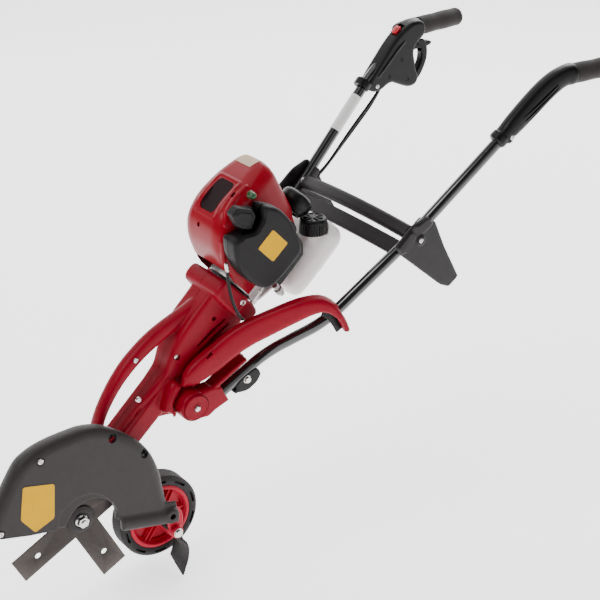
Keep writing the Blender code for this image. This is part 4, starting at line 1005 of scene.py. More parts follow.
ob = raw("hood_skin", loft([tapered(q) for q in hood_fine]))
ridge = []
rect = [(492, -34), (560, -34), (560, 22), (492, 22), (492, -34)]
loop_pts = []
for a, b in zip(rect, rect[1:]):
    for i in range(10):
        f = i / 10
        loop_pts.append((a[0] + (b[0] - a[0]) * f, a[1] + (b[1] - a[1]) * f))
loop_pts = chaikin(loop_pts, 2)
ridge_pts = [E(t, top_s(t) - 1.0 - max(0.0, (-30 - n)) * 0.25, n) for t, n in loop_pts]
ridge_pts.append(ridge_pts[0])
extra = [sweep(ridge_pts, (3.4), 16)]
extra.append(sweep([E(562, top_s(562) - 5, 30), E(540, top_s(540) - 3.5, 33), E(512, top_s(512) - 4, 38),
                    E(492, top_s(492) - 8, 43)], [(4, 5), (5, 6), (5, 5), (3, 3)], 16))
extra.append(sweep([E(440, 58, 46), E(452, 84, 45), E(470, 105, 43), E(490, 116, 40)], [2.6, 4, 4, 2.6], 14))
tmp = gather("hood_ridges", extra)
bm = bmesh.new()
bm.from_mesh(ob.data)
bm.from_mesh(tmp.data)
bm.to_mesh(ob.data)
bm.free()
bpy.data.objects.remove(tmp, do_unlink=True)
melt(ob, 1.05, 7, 0.5)
carve(ob, [loft([tapered(q) for q in inner])])
lab = chaikin([(497, -27), (555, -27), (555, 15), (497, 15)], 3, 0.12)
carve(ob, [loft([[E(t, top_s(t) - 2.3, n) for t, n in lab], [E(t, top_s(t) + 20, n) for t, n in lab]]),
           box(580, 640, 32, 97, -48, 2), box(486, 534, 34, 86, 30, 60), box(510, 534, 92, 116, 37, 60),
           box(534, 543, 110, 150, 25, 31), box(425, 470, -60, 4, 12, 60),
           lathe([(0, 560), (28.4, 560), (28.4, 640), (0, 640)], HUB, DRIVE, 48), lathe([(0, 90), (3.6, 90), (3.6, 140), (0, 140)], E(474, 0, -12), (-SA, 0, CA), 28)])
done(ob, HOOD_RED, "chassis", ["engine_cover"], 38)
lab_in = offset(lab, -0.6)
ob = raw("hood_label", loft([[E(t, top_s(t) - 3.4, n) for t, n in lab_in], [E(t, top_s(t) + 0.3, n) for t, n in lab_in]]))
done(ob, MAROON, "chassis", (), 30)
# near-black inner skin of the hood: painted shade inside the hood
ob = raw("hood_inner_painted_shade", loft([tapered((q[0] + 6 if k == 0 else q[0], q[1] + 0.5, q[2] - 0.5, q[3], q[4] - 0.5, q[5]), 8)
                                  for k, q in enumerate(inner[1:])]))
carve(ob, [loft([tapered((q[0] - 8 if k == 0 else q[0] + (6 if k == len(inner) - 2 else 0), q[1] + 1.3, q[2] - 1.3,
                          q[3] - 6, q[4] - 1.3, q[5] - 0.5), 8) for k, q in enumerate(inner[1:])]),
           box(486, 534, 34, 86, 30, 60), box(510, 534, 92, 116, 37, 60), box(580, 640, 32, 97, -48, 2),
           box(425, 480, -80, 6, 12, 60), lathe([(0, 560), (28.4, 560), (28.4, 640), (0, 640)], HUB, DRIVE, 32)])
done(ob, PAINTED_SHADE, "chassis", (), 40)
# near-black sheets just inside the two small openings of the hood: painted shade
ob = gather("hood_opening_painted_shade", [box(531, 546, top_s(538) - 9, top_s(538) - 6, 21, 35),
                            loft([[E(474 + a, top_s(474) - 9, -12 + b) for a, b in ((-7, -7), (7, -7), (7, 7), (-7, 7))],
                                  [E(474 + a, top_s(474) - 7, -12 + b) for a, b in ((-7, -7), (7, -7), (7, 7), (-7, 7))]])])
bevel(ob, 0.5, 1)
done(ob, PAINTED_SHADE, "chassis", (), 30)
# pale heat-reflecting patch on the hood's rear shoulder
grid = []
for i in range(9):
    t = 592 + 19 * i / 8
    row = lerp_rows(hood_fine, t)
    shift = lean(t)
    _, n0, n1, s0, s1, r = row
    line = []
    for j in range(15):
        n = -36 + 40 * j / 14
        cn = max(n0 + r, min(n, n1 - r))
        dn = n - cn
        s = s1 - r + math.sqrt(max(0.0, r * r - dn * dn))
        line.append(E(t + shift(s), s + 0.5, n))
    grid.append(line)
bm = bmesh.new()
vs = [[bm.verts.new(p) for p in line] for line in grid]
for i in range(8):
    for j in range(14):
        bm.faces.new((vs[i][j], vs[i][j + 1], vs[i + 1][j + 1], vs[i + 1][j]))
ob = raw("heat_patch", bm)
m = ob.modifiers.new("s", 'SOLIDIFY')
m.thickness = 0.0005
m.offset = 0.0
bake(ob)
done(ob, CREAM, "chassis", (), 50)

fin_outline = [box(484 - 3, 544 + 3, s, s + 2.2, -37, 29, 0.6) for s in (50, 57, 64, 71, 78, 85, 92)]
ob = gather("crankcase_casting", [
    loft([section(t, -36, n1, -42, 42, 12, 6) for t, n1 in ((462, 36), (463, 36), (545, 33), (552, 29), (556, 26))]), box(486, 542, 30, 104, -34, 26, 2)] + fin_outline
    + [lathe([(0, 434), (44.6, 434), (45.5, 435), (45.5, 463), (44.6, 464), (0, 464)], HUB, DRIVE, 72)]
    + [lathe([(0, 432), (7, 432), (7, 470), (0, 470)], E(0, 42 * math.sin(a), 42 * math.cos(a)), DRIVE, 24)
       for a in (math.radians(-18), math.radians(-62), math.radians(-118), math.radians(-162))]
    + [sweep([E(440, -30, 32), E(470, -34, 36), E(500, -36, 38)], [(5, 5), (6, 6), (5, 5)], 16)])
melt(ob, 1.3, 3, 0.5)
carve(ob, [lathe([(0, 425), (42, 425), (42, 461), (8.4, 461.3), (8.4, 700), (0, 700)], HUB, DRIVE, 56)])
done(ob, ALU, "chassis", ["crankcase"], 38)
for k, (t, s, n) in enumerate(((452, -14, 45.0), (452, -32, 34.0))):
    ax = Vector((0, 1, 0))
    p = E(t, s, n)
    screw("crankcase_bolt_%d" % k, p[0], p[2], n, "chassis", 3.6, 3.0, axis=(0, 1, 0))

ob = raw("recoil_cover", lathe([(0, 586), (19.5, 586), (27, 599.2), (27.5, 600.4), (27.5, 611), (26.6, 613.6),
                                (24.5, 616.4), (20.5, 618.6), (16, 619.4), (0, 619.5)], HUB, DRIVE, 96))
carve(ob, [lathe([(0, 580), (16.5, 580), (16.5, 587), (24.5, 601), (24.5, 611), (22, 614), (14, 616.5), (0, 616.5)],
                 HUB, DRIVE, 64),
           lathe([(0, -70), (2.8, -70), (2.8, -20), (0, -20)], E(606, 0, 0), SIDE, 24)])
slits = []
for k in range(12):
    a = 2 * math.pi * k / 12 + 0.2
    ca, sa = math.cos(a), math.sin(a)
    poly = [(7, -1.0), (19, -1.7), (19, 1.7), (7, 1.0)]
    slits.append(loft([[E(t, r * ca - w * sa, r * sa + w * ca) for r, w in poly] for t in (614, 630)]))
carve(ob, slits)
bevel(ob, 0.4, 1, 40)
done(ob, BLACK, "chassis", ["recoil_housing"], 35)
ob = gather("starter_handle_moulding", [
    sweep(spline([E(606, -17, -58), E(606, -13, -58.2), E(606, 0, -59), E(606, 13, -58.2), E(606, 17, -58)], 6),
          [3.0 + 2.6 * math.sin(math.pi * (i + 1.5) / 27) ** 0.6 for i in range(25)], 28),
    lathe([(0, -57), (2.2, -57), (2.2, 22), (0, 22)], E(606, 0, 0), SIDE, 20),
    lathe([(0, -57), (4.6, -56.5), (4.2, -52), (3.4, -48.5), (0, -48.5)], E(606, 0, 0), SIDE, 28)])
melt(ob, 0.7, 3, 0.5)
done(ob, BLACK, "starter_handle", ["starter_grip"], 38)

ob = raw("muffler_box", loft([section(t, a, b, c, d, r, 6) for t, a, b, c, d, r in
                             ((568, -46, -8, 37, 90, 8), (590, -44, -6, 36, 92, 9), (593.5, -42.5, -6.8, 39, 90, 9),
                              (596, -40, -8, 46, 86, 9))]))
carve(ob, [box(588, 600, 56 + 6 * k, 59 + 6 * k, -34, -14) for k in range(4)])
bevel(ob, 0.6, 2, 40)
done(ob, DISH, "chassis", ["muffler"], 35)

cleaner = [exz(t, s) for t, s in
           ((551, 116), (563, 90), (563, 58), (547, 8), (534, -1), (488, 1), (462, 6), (450, 24), (448, 69),
            (458, 98), (478, 122), (497, 108), (511, 95.5), (523, 97), (535, 101), (543, 113))]
boot_poly = [exz(t, s) for t, s in ((505, 110), (511, 122), (528, 131), (540, 121), (538, 108), (515, 97))]
bp0 = [exz(t, s) for t, s in ((499, 112), (504, 132), (523, 135), (539, 117), (533, 104), (512, 98))]
cl = chaikin(cleaner, 3, 0.20)
ob = raw("air_cleaner_base", rounded(offset(cl, -2), 50.6, 62, 1, 0.8))
carve(ob, [prism(offset(bp0, 0.8), [(45, 0), (80, 0)])])
done(ob, BLACK, "chassis", ["air_cleaner_case"], 35)
ob = gather("air_cleaner_lid_moulding", [
    rounded(cl, 62.4, 88.5, 0, 7.5, 8), prism(offset(cl, 0.5), [(62.4, 0), (65.2, 0), (65.8, -0.6)]),
    rounded(chaikin([exz(t, s) for t, s in ((470, -3.5), (476, 2), (510, 2), (516, -3.5))], 1), 63, 74, 0, 1.5),
    rounded(chaikin([exz(t, s) for t, s in ((552, 20), (562, 26), (566, 44), (558, 46))], 1), 63, 74, 0, 1.5)])
melt(ob, 0.95, 4, 0.5)
carve(ob, [prism(offset(cl, -3), [(55, 0), (72, -1), (76, -6)])])
done(ob, COVER, "air_cleaner_lid", ["air_cleaner_cover"], 38)
sq = chaikin([(181.2, 564.6), (210.0, 533.9), (180.6, 508.8), (151.8, 538.8)], 2, 0.06)
plane_patch("cleaner_label_border", [(x, 88.45, z) for x, z in sq], 0.35, (0, 1, 0), AMBER, "air_cleaner_lid")
plane_patch("cleaner_label", [(x, 88.6, z) for x, z in offset(sq, -0.9)], 0.45, (0, 1, 0), YELLOW, "air_cleaner_lid")
ob = gather("carburettor_body", [box(490, 530, 40, 80, 29.4, 50.2, 2), rod(*exz(510, 60), 14, 29, 50.3, 48)])
melt(ob, 1.0, 3, 0.5)
done(ob, ALU, "chassis", ["carburetor"], 38)
bp = chaikin([exz(t, s) for t, s in ((499, 112), (504, 132), (523, 135), (539, 117), (533, 104), (512, 98))], 1, 0.10)
cap_poly = chaikin([(113.9, 598.8), (126.7, 608.6), (152.0, 599.3), (158.3, 588.0), (149.7, 567.1), (127.8, 574.2)], 1, 0.10)
ob = gather("plug_boot_moulding", [rounded(bp, 52.6, 66, 0.5, 2.2, 5), rounded(cap_poly, 61, 78.5, 1, 2.2, 5),
                                   rounded(offset(cap_poly, -6), 70, 79.6, 0, 0.8),
                                   box(514, 530, 104.6, 114, 32, 54, 2)])
melt(ob, 0.8, 3, 0.5)
done(ob, COVER, "chassis", ["spark_plug_boot"], 38)
simple("primer_bulb_moulding", lathe([(0, 50.6), (6.5, 50.6), (6.8, 51.2), (6.5, 52.4), (6.2, 56), (5.4, 59.8),
                                      (3.8, 62.2), (1.8, 63.3), (0, 63.5)], E(553, 124, 0), SIDE, 48), GREEN, "chassis",
       ["primer_bulb"], deg=40)

cap_c = (308.0, 20.0)
tank_rows = [(484, -46, 30, -92, -58, 14), (487, -52, 37, -99, -52, 18), (494, -56, 41.5, -104, -48, 21),
             (508, -57.5, 43.4, -106.4, -47.2, 24), (524, -58, 44, -107, -47, 25), (584, -58, 44, -107, -47, 25),
             (600, -57, 43, -105.5, -48.5, 24), (610, -53, 39, -101, -52, 21), (616, -47, 33, -94, -58, 15)]
ob = gather("tank_moulding", [
    loft([section(*q, k=9) for q in spline(tank_rows, 5)]),
    lathe([(0, 462), (22, 462), (19.5, 494), (17.6, 500), (17.6, 519), (0, 519)], (cap_c[0], cap_c[1], 0), (0, 0, 1), 64),
    loft([section(547.5, -58.8, 44.8, -107.8, -46.2, 25, 9), section(549.5, -58.8, 44.8, -107.8, -46.2, 25, 9)])])
melt(ob, 1.2, 8, 0.5)
carve(ob, [lathe([(0, 518.8), (16.9, 518.8), (16.9, 503.4), (25.5, 503.4), (25.5, 560), (0, 560)],
                 (cap_c[0], cap_c[1], 0), (0, 0, 1), 64)])
done(ob, TANK, "chassis", ["fuel_tank"], 45)


def cap_ribs(i, h, r):
    return 0.0 if (i // 3) % 2 or h > 525.5 or r < 20 else -1.3


capprof = [(17.4, 504), (22.1, 504), (22.5, 504.6)] + [(22.5, 504.6 + k * 3.0) for k in range(1, 8)] + \
          [(22.4, 526.4), (21.9, 528.6), (20.6, 530.2), (18.4, 531.0), (16.5, 530.2), (15.6, 529.4), (5, 529.4), (0, 529.4),
           (0, 519.5), (17.4, 519.5)]
ob = raw("tank_cap_moulding", lathe(capprof[:-2] + [(0, 519.5), (17.4, 519.5)], (cap_c[0], cap_c[1], 0), (0, 0, 1), 180, cap_ribs))
done(ob, BLACK, "tank_cap", ["fuel_cap"], 32)
bars = []
for k in range(4):
    a = math.pi / 4 * k
    ca, sa = math.cos(a), math.sin(a)
    bars.append(loft([[(cap_c[0] + x * ca - y * sa, cap_c[1] + x * sa + y * ca, z)
                       for x, y in ((-16, -1.2), (16, -1.2), (16, 1.2), (-16, 1.2))] for z in (529.0, 531.2)]))
ob = gather("tank_cap_bars", bars)
bevel(ob, 0.4, 2, 40)
done(ob, BLACK, "tank_cap", (), 30)

ob = raw("cable_end_ferrule", lathe([(0, 0), (2.6, 0), (3.4, 1.4), (3.4, 4), (2.9, 4.6), (2.9, 6), (3.4, 6.6), (3.4, 13),
                                     (2.6, 15), (0, 15)], (114.8, 60, 500), (-0.1, 0, 0.995), 32))
done(ob, STEEL, "chassis", ["cable_ferrule"], 30)
cable = spline([(114.9, 60, 499.4), (115.4, 60.5, 488), (117.2, 61.6, 470), (121, 63, 450), (127.5, 63, 432), (134, 62, 420),
                (141, 61, 411)], 8)
simple("engine_cable_sheath", sweep(cable, 2.6, 20), BLACK, "chassis", ["engine_throttle_cable"])
ob = gather("fuel_union", [lathe([(0, 0), (4.6, 0), (5, 0.6), (5, 8), (4.2, 8.6), (4.2, 18.4), (4.5, 19), (4.5, 24), (0, 24)],
                                 (205, 57.5, 451), (0.62, 0, -0.78), 40),
                           lathe([(0, 8.6), (7.2, 8.6), (7.8, 9.4), (7.8, 17), (7.2, 17.8), (0, 17.8)], (205, 57.5, 451),
                                 (0.62, 0, -0.78), 6)])
bevel(ob, 0.4, 2, 40)
done(ob, ALU, "chassis", ["fuel_fitting"], 30)

# ============================================================== handlebar
def add_bracket(name, sg, cad):
    block = arc(FOLD_X, FOLD_Z, 25.2, 62, 290, 40) + chaikin([(66, 262), (74, 257), (88, 265), (114, 274), (99, 304), (80, 307),
                                                             (70, 303)], 2)[4:-4]
    block = arc(FOLD_X, FOLD_Z, 25.2, 62, 290, 40) + [(74, 257), (88, 265), (114, 274), (99, 304), (80, 307)]
    strip = [(72, 300), (122, 327), (148, 340), (152, 338), (158, 331), (113, 305), (90, 292)]
    flank = [(66, 262), (82, 262), (104, 275), (112, 279), (116, 275), (88, 259), (72, 255)]
    o = gather(name, [rounded(block, sg * 33, sg * 61.5, 1.5, 5, 5), rounded(strip, sg * 33.2, sg * 40, 1, 1.5),
                      rounded(strip[:3] + [(150, 334), (114, 315), (80, 296)], sg * 36, sg * 60, 1, 2),
                      rounded(circle(FOLD_X, FOLD_Z, 21.5, 72), sg * 50, sg * 63.0, 0, 1.2)])
    melt(o, 1.0, 5, 0.5)
    ring = [rounded(circle(FOLD_X, FOLD_Z, 23.2, 72) , sg * 61.2, sg * 80)]
    carve(o, [tube_bore(sg), rod(FOLD_X, FOLD_Z, 5.45, sg * 20, sg * 90, 32)])
    groove = lathe([(21.7, 58.5), (22.9, 58.5), (22.9, 70), (21.7, 70)], (FOLD_X, 0, FOLD_Z), (0, sg, 0), 72)
    carve(o, [groove])
    done(o, RED, "handlebar", [cad], 38)
    disc = lathe([(5.5, 61.0), (20.6, 61.0), (20.9, 61.5), (20.9, 63.0), (20.2, 63.9), (19.2, 64.0), (18.6, 63.6), (8.4, 63.6),
                  (7.6, 64.2), (5.5, 64.2)], (FOLD_X, 0, FOLD_Z), (0, sg, 0), 84)
    o = raw(name + "_disc", disc)
    done(o, RED, "handlebar", (), 30)


def add_clamp(name, sg, cad):
    poly = chaikin([(126, 296), (134, 305), (163, 318), (172, 312), (176, 302), (168, 290), (150, 280), (130, 281)], 1, 0.18)
    o = gather(name, [rounded(poly, sg * 40.8, sg * 61, 1.5, 3.0),
                      rounded(chaikin([(122, 284), (132, 296), (138, 290), (130, 279)], 1), sg * 41, sg * 60, 1, 2)])
    melt(o, 0.9, 4, 0.5)
    carve(o, [tube_bore(sg), lathe([(0, 58.6), (7.4, 58.6), (7.4, 80), (0, 80)], (148.5, 0, 300.5), (0, sg, 0), 40)])
    done(o, BLACK, "handlebar", [cad], 38)
    hexa = rounded(circle(148.5, 300.5, 5.6, 6, 15), sg * 58.8, sg * 63.8, 0, 0.9)
    wsh = rounded(circle(148.5, 300.5, 7.0, 40), sg * 58.4, sg * 59.6, 0.2, 0.2)
    o = gather(name + "_bolt", [hexa, wsh])
    done(o, STEEL, "handlebar", (), 25)


def add_tube(name, sg, cad):
    o = raw(name, sweep(tube_path(sg), 9.5, 48, 8))
    done(o, TUBE, "handlebar", [cad], 50)
    # squared plug that closes the tube's lower end
    pts = tube_path(sg)
    d = (pts[1] - pts[0]).normalized()
    o = raw(name + "_end_plug", sweep([pts[0] - d * 1.4, pts[0] - d * 0.6, pts[0] + d * 6], [7.4, 7.9, 7.9], 40))
    done(o, BLACK, "handlebar", (), 40)


add_bracket("pivot_bracket_left", 1, "left_pivot_bracket")
add_bracket("pivot_bracket_right", -1, "right_pivot_bracket")
add_clamp("tube_clamp_left", 1, "left_tube_clamp")
add_clamp("tube_clamp_right", -1, "right_tube_clamp")
add_tube("handle_tube_left", 1, "left_handle_tube")
add_tube("handle_tube_right", -1, "right_handle_tube")
ob = gather("pivot_bolt_turned", [
    lathe([(0, -64.6), (5, -64.6), (5, 64.6), (0, 64.6)], (FOLD_X, 0, FOLD_Z), SIDE, 40),
    lathe([(0, 64.3), (4.8, 64.3), (5.0, 64.8), (4.6, 66.6), (3.4, 67.4), (0, 67.6)], (FOLD_X, 0, FOLD_Z), SIDE, 40),
    lathe([(0, -67), (6.2, -67), (7, -66.2), (7, -64.4), (0, -64.4)], (FOLD_X, 0, FOLD_Z), SIDE, 6)])
done(ob, STEEL, "chassis", ["pivot_bolt"], 30)

UT = Vector((0.742, 0.0, 0.670))
UN = Vector((-0.670, 0.0, 0.742))


def brace_bar(a0, a1, th, mid, r=4.0, tilt=0.0, half=141):
    loops = []
    for i in range(33):
        n = -half + 2 * half * i / 32
        f = 1 - (n / half) ** 2
        c = Vector((403, n, 512.5)) + UN * (mid * f)
        ang = math.radians(tilt * f)
        ca, sa = math.cos(ang), math.sin(ang)
        ca0, cb0 = (a0 + a1) / 2, 0.0
        lp = []
        for cx, cy, s0 in ((a1 - r, th - r, 0), (a0 + r, th - r, 90), (a0 + r, -th + r, 180), (a1 - r, -th + r, 270)):
            for k in range(6):
                g = math.radians(s0 + 90 * k / 5)
                a, b = cx + r * math.cos(g) - ca0, cy + r * math.sin(g)
                q = c + UT * (ca0 + a * ca - b * sa) + UN * (a * sa + b * ca)
                lp.append((q.x, q.y, q.z))
        loops.append(lp)
    return loft(loops)


leg = [(372, 499), (365, 513), (397, 540), (429, 551), (445, 537), (464, 489), (486, 448), (499, 426), (480, 413),
       (461, 422), (408, 468)]
web = [(379, 492), (412, 523), (434, 541), (440, 535), (424, 510), (396, 488)]
leg_s = chaikin(leg, 1, 0.10)
parts = [brace_bar(-3, 21, 8.5, 14, 6.5, 0, 141), brace_bar(-36, -9, 4.4, 9, 2.6, 0, 141)]
for sg in (1, -1):
    parts.append(rounded(chaikin(web, 1, 0.15), sg * 136, sg * 160, 1, 1))
    parts.append(rounded(leg_s, sg * 158.6, sg * 164, 0, 2.0))
    # two raised pads along the leg's upper edge, either side of the screw
    parts.append(rounded(chaikin([(367, 511), (394, 534.5), (406, 521), (378, 497)], 1, 0.12), sg * 161, sg * 167.2, 0, 2.4))
    parts.append(rounded(chaikin([(403, 540), (429, 550.5), (438, 536), (418, 524)], 1, 0.12), sg * 161, sg * 167.2, 0, 2.4))
    for k in (-1, 0, 1):
        c0 = Vector((388, sg * 166.4, 510)) + UN * (5.0 * k)
        parts.append(sweep([c0 - UT * 11, c0 - UT * 8, c0 + UT * 8, c0 + UT * 11], [0.7, 1.3, 1.3, 0.7], 12))
    # rolled lip down the rear edge of the leg
    parts.append(sweep([(444, sg * 161, 536), (464, sg * 161, 489), (486, sg * 161, 448), (498, sg * 161, 427)], [2.4, 3.0, 3.0, 2.4], 14))
    parts.append(lathe([(0, 158), (8.5, 158), (8, 166.4), (0, 166.4)], (414.4, 0, 512.6), (0, sg, 0), 36))
ob = gather("cross_brace_moulding", parts)
melt(ob, 1.2, 5, 0.5)
carve(ob, [tube_bore(1), tube_bore(-1),
           lathe([(0, 164.2), (5.4, 164.2), (5.4, 175), (0, 175)], (414.4, 0, 512.6), (0, 1, 0), 32),
           lathe([(0, 164.2), (5.4, 164.2), (5.4, 175), (0, 175)], (414.4, 0, 512.6), (0, -1, 0), 32)])
done(ob, BRACE, "handlebar", ["cross_brace"], 38)
for sg, nm in ((1, "left"), (-1, "right")):
    screw("brace_screw_" + nm, 414.4, 512.6, 164.3, "handlebar", 4.4, 2.4, sg=sg)
for k, (x, z) in enumerate(((379, 508), (405, 522))):
    o = gather("brace_clamp_bolt_%d" % k, [rounded(circle(x, z, 6.4, 36), -139.6, -136.4, 0.4, 0.5),
                                           rounded(circle(x, z, 4.6, 6), -137, -132.4, 0, 0.8)])
    done(o, STEEL, "handlebar", (), 25)

moulding = [(554, 175.6, 651, 11.6, 11.6), (558, 176.2, 654, 13.4, 13.4), (566, 177.3, 659.5, 13.8, 13.6),
            (574, 178.4, 666, 14.6, 13.8), (586, 180, 676, 16.8, 14.2), (612, 183, 698, 18.4, 14.8),
            (640, 186.5, 721, 18.6, 15), (662, 189, 735, 18.0, 15), (680, 191, 742, 17.0, 15.5),
            (690, 192.2, 743.3, 17.4, 17.2), (697, 192.9, 743.8, 17.2, 17.0), (699, 193.1, 743.9, 15.2, 15.2)]


def core(sg, z0, z1):
    return sweep([(688, sg * 192, z0), (796, sg * 203, z1)], 11, 36)


mf = spline(moulding, 6)
ob = gather("left_elbow_moulding", [
    sweep([(x, n, z) for x, n, z, _, _ in mf], [(a, b) for *_, a, b in mf], 40, power=0.86), core(1, 743, 745),
    lathe([(0, 0), (14.4, 0), (15, 1), (15, 12), (14.4, 13), (0, 13)], (556, 175.6, 652.4), (0.74, 0.1, 0.66), 48),
    rounded(chaikin([(566, 652), (574, 648), (582, 656), (580, 668), (570, 668)], 1), 170, 191, 2, 2.5)])
melt(ob, 1.0, 5, 0.5)
flutes = []
for off in (-7.5, -0.6, 6.3):
    u = Vector((0.79, 0.10, 0.61)).normalized()
    w = Vector((-0.61, 0.0, 0.79))
    a = Vector((597, 196.6, 684)) + w * off
    b = Vector((660, 203.0, 731)) + w * (off * 0.92 - 1.5)
    pts = [a.lerp(b, i / 12) for i in range(13)]
    flutes.append(sweep(pts, [(2.3 * math.sin(math.pi * (i + 0.8) / 13.6) ** 0.35, 3.6 * math.sin(math.pi * (i + 0.8) / 13.6) ** 0.35)
                              for i in range(13)], 20))
carve(ob, [tube_bore(1)] + flutes)
done(ob, BLACK, "handlebar", ["left_handle_moulding"], 40)
screw("left_clamp_screw", 575.5, 659.5, 190.3, "handlebar", 4.6, 2.8)


def add_sleeve(name, sg, z0, z1, cad):
    d = Vector((108, sg * 11, z1 - z0)).normalized()
    o3 = Vector((688, sg * 192, z0))
    prof = [(11.35, 8.6), (15.2, 8.6), (16.2, 9.4), (16.7, 11.5), (16.5, 16)]
    prof += [(16.5 + 0.35 * math.sin(k * 0.55), 16 + k * 4.2) for k in range(1, 22)]
    prof += [(16.5, 108), (16.1, 111), (15.0, 113.3), (13.2, 114.4), (0, 114.5), (0, 109.2), (11.35, 109.2)]
    o = raw(name, lathe(prof, o3, d, 72))
    done(o, GRIP, "handlebar", [cad], 50)


add_sleeve("grip_left", 1, 743, 745, "left_grip")
add_sleeve("grip_right", -1, 736, 736, "right_grip")

throttle_line = rounded_path([(447, -152, 521), (470, -153, 537), (520, -158, 584), (570, -166, 622), (600, -173, 645)], 30, 10)
wire_line = rounded_path([(441, -154.4, 511), (466, -156.5, 528), (524, -163, 575), (580, -172, 618), (612, -180, 651)], 30, 10)


def hole(line, r):
    pts = [Vector(p) for p in line]
    pts[-1] += (pts[-1] - pts[-2]).normalized() * 0.6
    return sweep(pts, r, 24)


case = [(561, 652), (587, 684), (624, 728), (648, 746), (668, 755), (688, 754), (697, 742), (694, 726), (676, 714),
        (669, 700), (673, 684), (675, 668), (684, 650), (676, 637), (659, 635), (634, 646), (618, 653), (596, 640), (578, 640)]
loop_out = [(676, 637), (692, 650), (704, 672), (708, 690), (704, 712), (692, 722), (676, 716), (690, 707), (694, 690),
            (692, 676), (682, 660), (668, 650)]
N_C = -180.0
ob = gather("throttle_housing_moulding", [
    rounded(chaikin(case, 2), N_C - 15, N_C + 15, 6, 6, 5), rounded(chaikin(loop_out, 2), N_C - 8, N_C + 8, 3, 3, 4),
    core(-1, 736, 736),
    sweep(spline([(648, -187.6, 731), (660, -189, 734), (680, -191, 735.4), (697, -193, 736)], 5),
          [(16.5, 15), (17.3, 15.8)] + [(17.6, 16.8)] * 12 + [(16.4, 16.4), (15.2, 15.2)], 36),
    lathe([(0, 0), (14.2, 0), (14.9, 1), (14.9, 13), (14.2, 14), (0, 14)], (556, -175.6, 652.4), (0.74, -0.1, 0.66), 48),
    sweep([(588, N_C + 15.2, 668), (604, N_C + 15.6, 684), (632, N_C + 15.4, 712), (646, N_C + 15, 722)], [1.4, 2.4, 2.4, 1.4], 14),
    sweep([(588, N_C - 15.2, 668), (604, N_C - 15.6, 684), (632, N_C - 15.4, 712), (646, N_C - 15, 722)], [1.4, 2.4, 2.4, 1.4], 14)])
melt(ob, 0.95, 4, 0.5)
sw_cut = loft([[(632 + dx, N_C - 6, 733 + dz), (632 + dx, N_C + 6, 733 + dz), (653 + dx, N_C + 6, 748.5 + dz),
                (653 + dx, N_C - 6, 748.5 + dz)] for dx, dz in ((4.2, -5.8), (-9, 12))])
carve(ob, [tube_bore(-1), hole(throttle_line, 3.1), hole(wire_line, 2.6),
           prism([(652, 694), (712, 694), (712, 722.5), (686, 722.5), (652, 716)], [(N_C - 7, 0), (N_C + 7, 0)]), sw_cut]
      + [lathe([(0, 13.2), (3.2, 13.2), (3.2, 30), (0, 30)], (x, N_C, z), (0, sg, 0), 28)
         for x, z in ((612, 664), (655, 652), (640, 690)) for sg in (1, -1)])
done(ob, BLACK, "handlebar", ["throttle_housing"], 40)
for k, (x, z) in enumerate(((612, 664), (655, 652), (640, 690))):
    o = raw("housing_screw_%d" % k, lathe([(0, 13.0), (2.8, 13.0), (2.7, 13.8), (2.0, 14.4), (0, 14.6)], (x, N_C, z), SIDE, 28))
    done(o, DISH, "handlebar", (), 30)
screw("right_clamp_screw", 586, 651, -166.5, "handlebar", 4.2, 2.8, axis=(0, 1, 0))
TRIG_X, TRIG_Z = 662.0, 706.0
trig = arc(TRIG_X, TRIG_Z, 5.5, 100, 265, 16) + [(672, 699.5), (681, 701), (690, 702)] \
    + [(690 + 1.6 * k, 702.0 + (0.9 if k % 2 else 0.0)) for k in range(1, 9)] \
    + [(708, 702.8), (714, 704.5), (717, 709), (711, 711.5), (700, 710), (686, 711), (672, 711.5)]
ob = raw("trigger_lever", rounded(trig, N_C - 6.4, N_C + 6.4, 1.4, 1.4))
done(ob, BLACK, "trigger", ["throttle_trigger"], 32)
UD, UP2 = Vector((0.805, 0, 0.594)), Vector((-0.594, 0, 0.805))
sw = []
for b, g in ((-3.0, 0.0), (2.4, 0.0), (4.2, -0.5), (5.0, -1.8)):
    lp = []
    for a, n in ((-7, -5.4), (7, -5.4), (7, 5.4), (-7, 5.4)):
        a2, n2 = a + math.copysign(g, a), n + math.copysign(g, n)
        q = Vector((639.5, N_C + n2, 739.0)) + UD * a2 + UP2 * b
        lp.append((q.x, q.y, q.z))
    sw.append(lp)
ob = raw("switch_rocker", loft(sw))
bevel(ob, 0.8, 3, 40)
done(ob, SWITCH, "switch", ["stop_switch"], 32)
ob = gather("switch_ridges", [loft([[tuple(Vector((639.5, N_C + n, 739.0)) + UD * (a + da) + UP2 * b) for n, b in
                                     ((-3.6, 4.8), (3.6, 4.8), (3.6, 5.7), (-3.6, 5.7))] for da in (-0.5, 0.5)])
                              for a in (-3.2, 0, 3.2)])
done(ob, SWITCH, "switch", (), 30)
for nm, line, r, cad in (("throttle_cable_sheath", throttle_line, 2.6, "throttle_cable"),
                         ("stop_wire_sheath", wire_line, 2.1, "stop_wire")):
    simple(nm, sweep(line, r, 20), BLACK, "handlebar", [cad], deg=50)

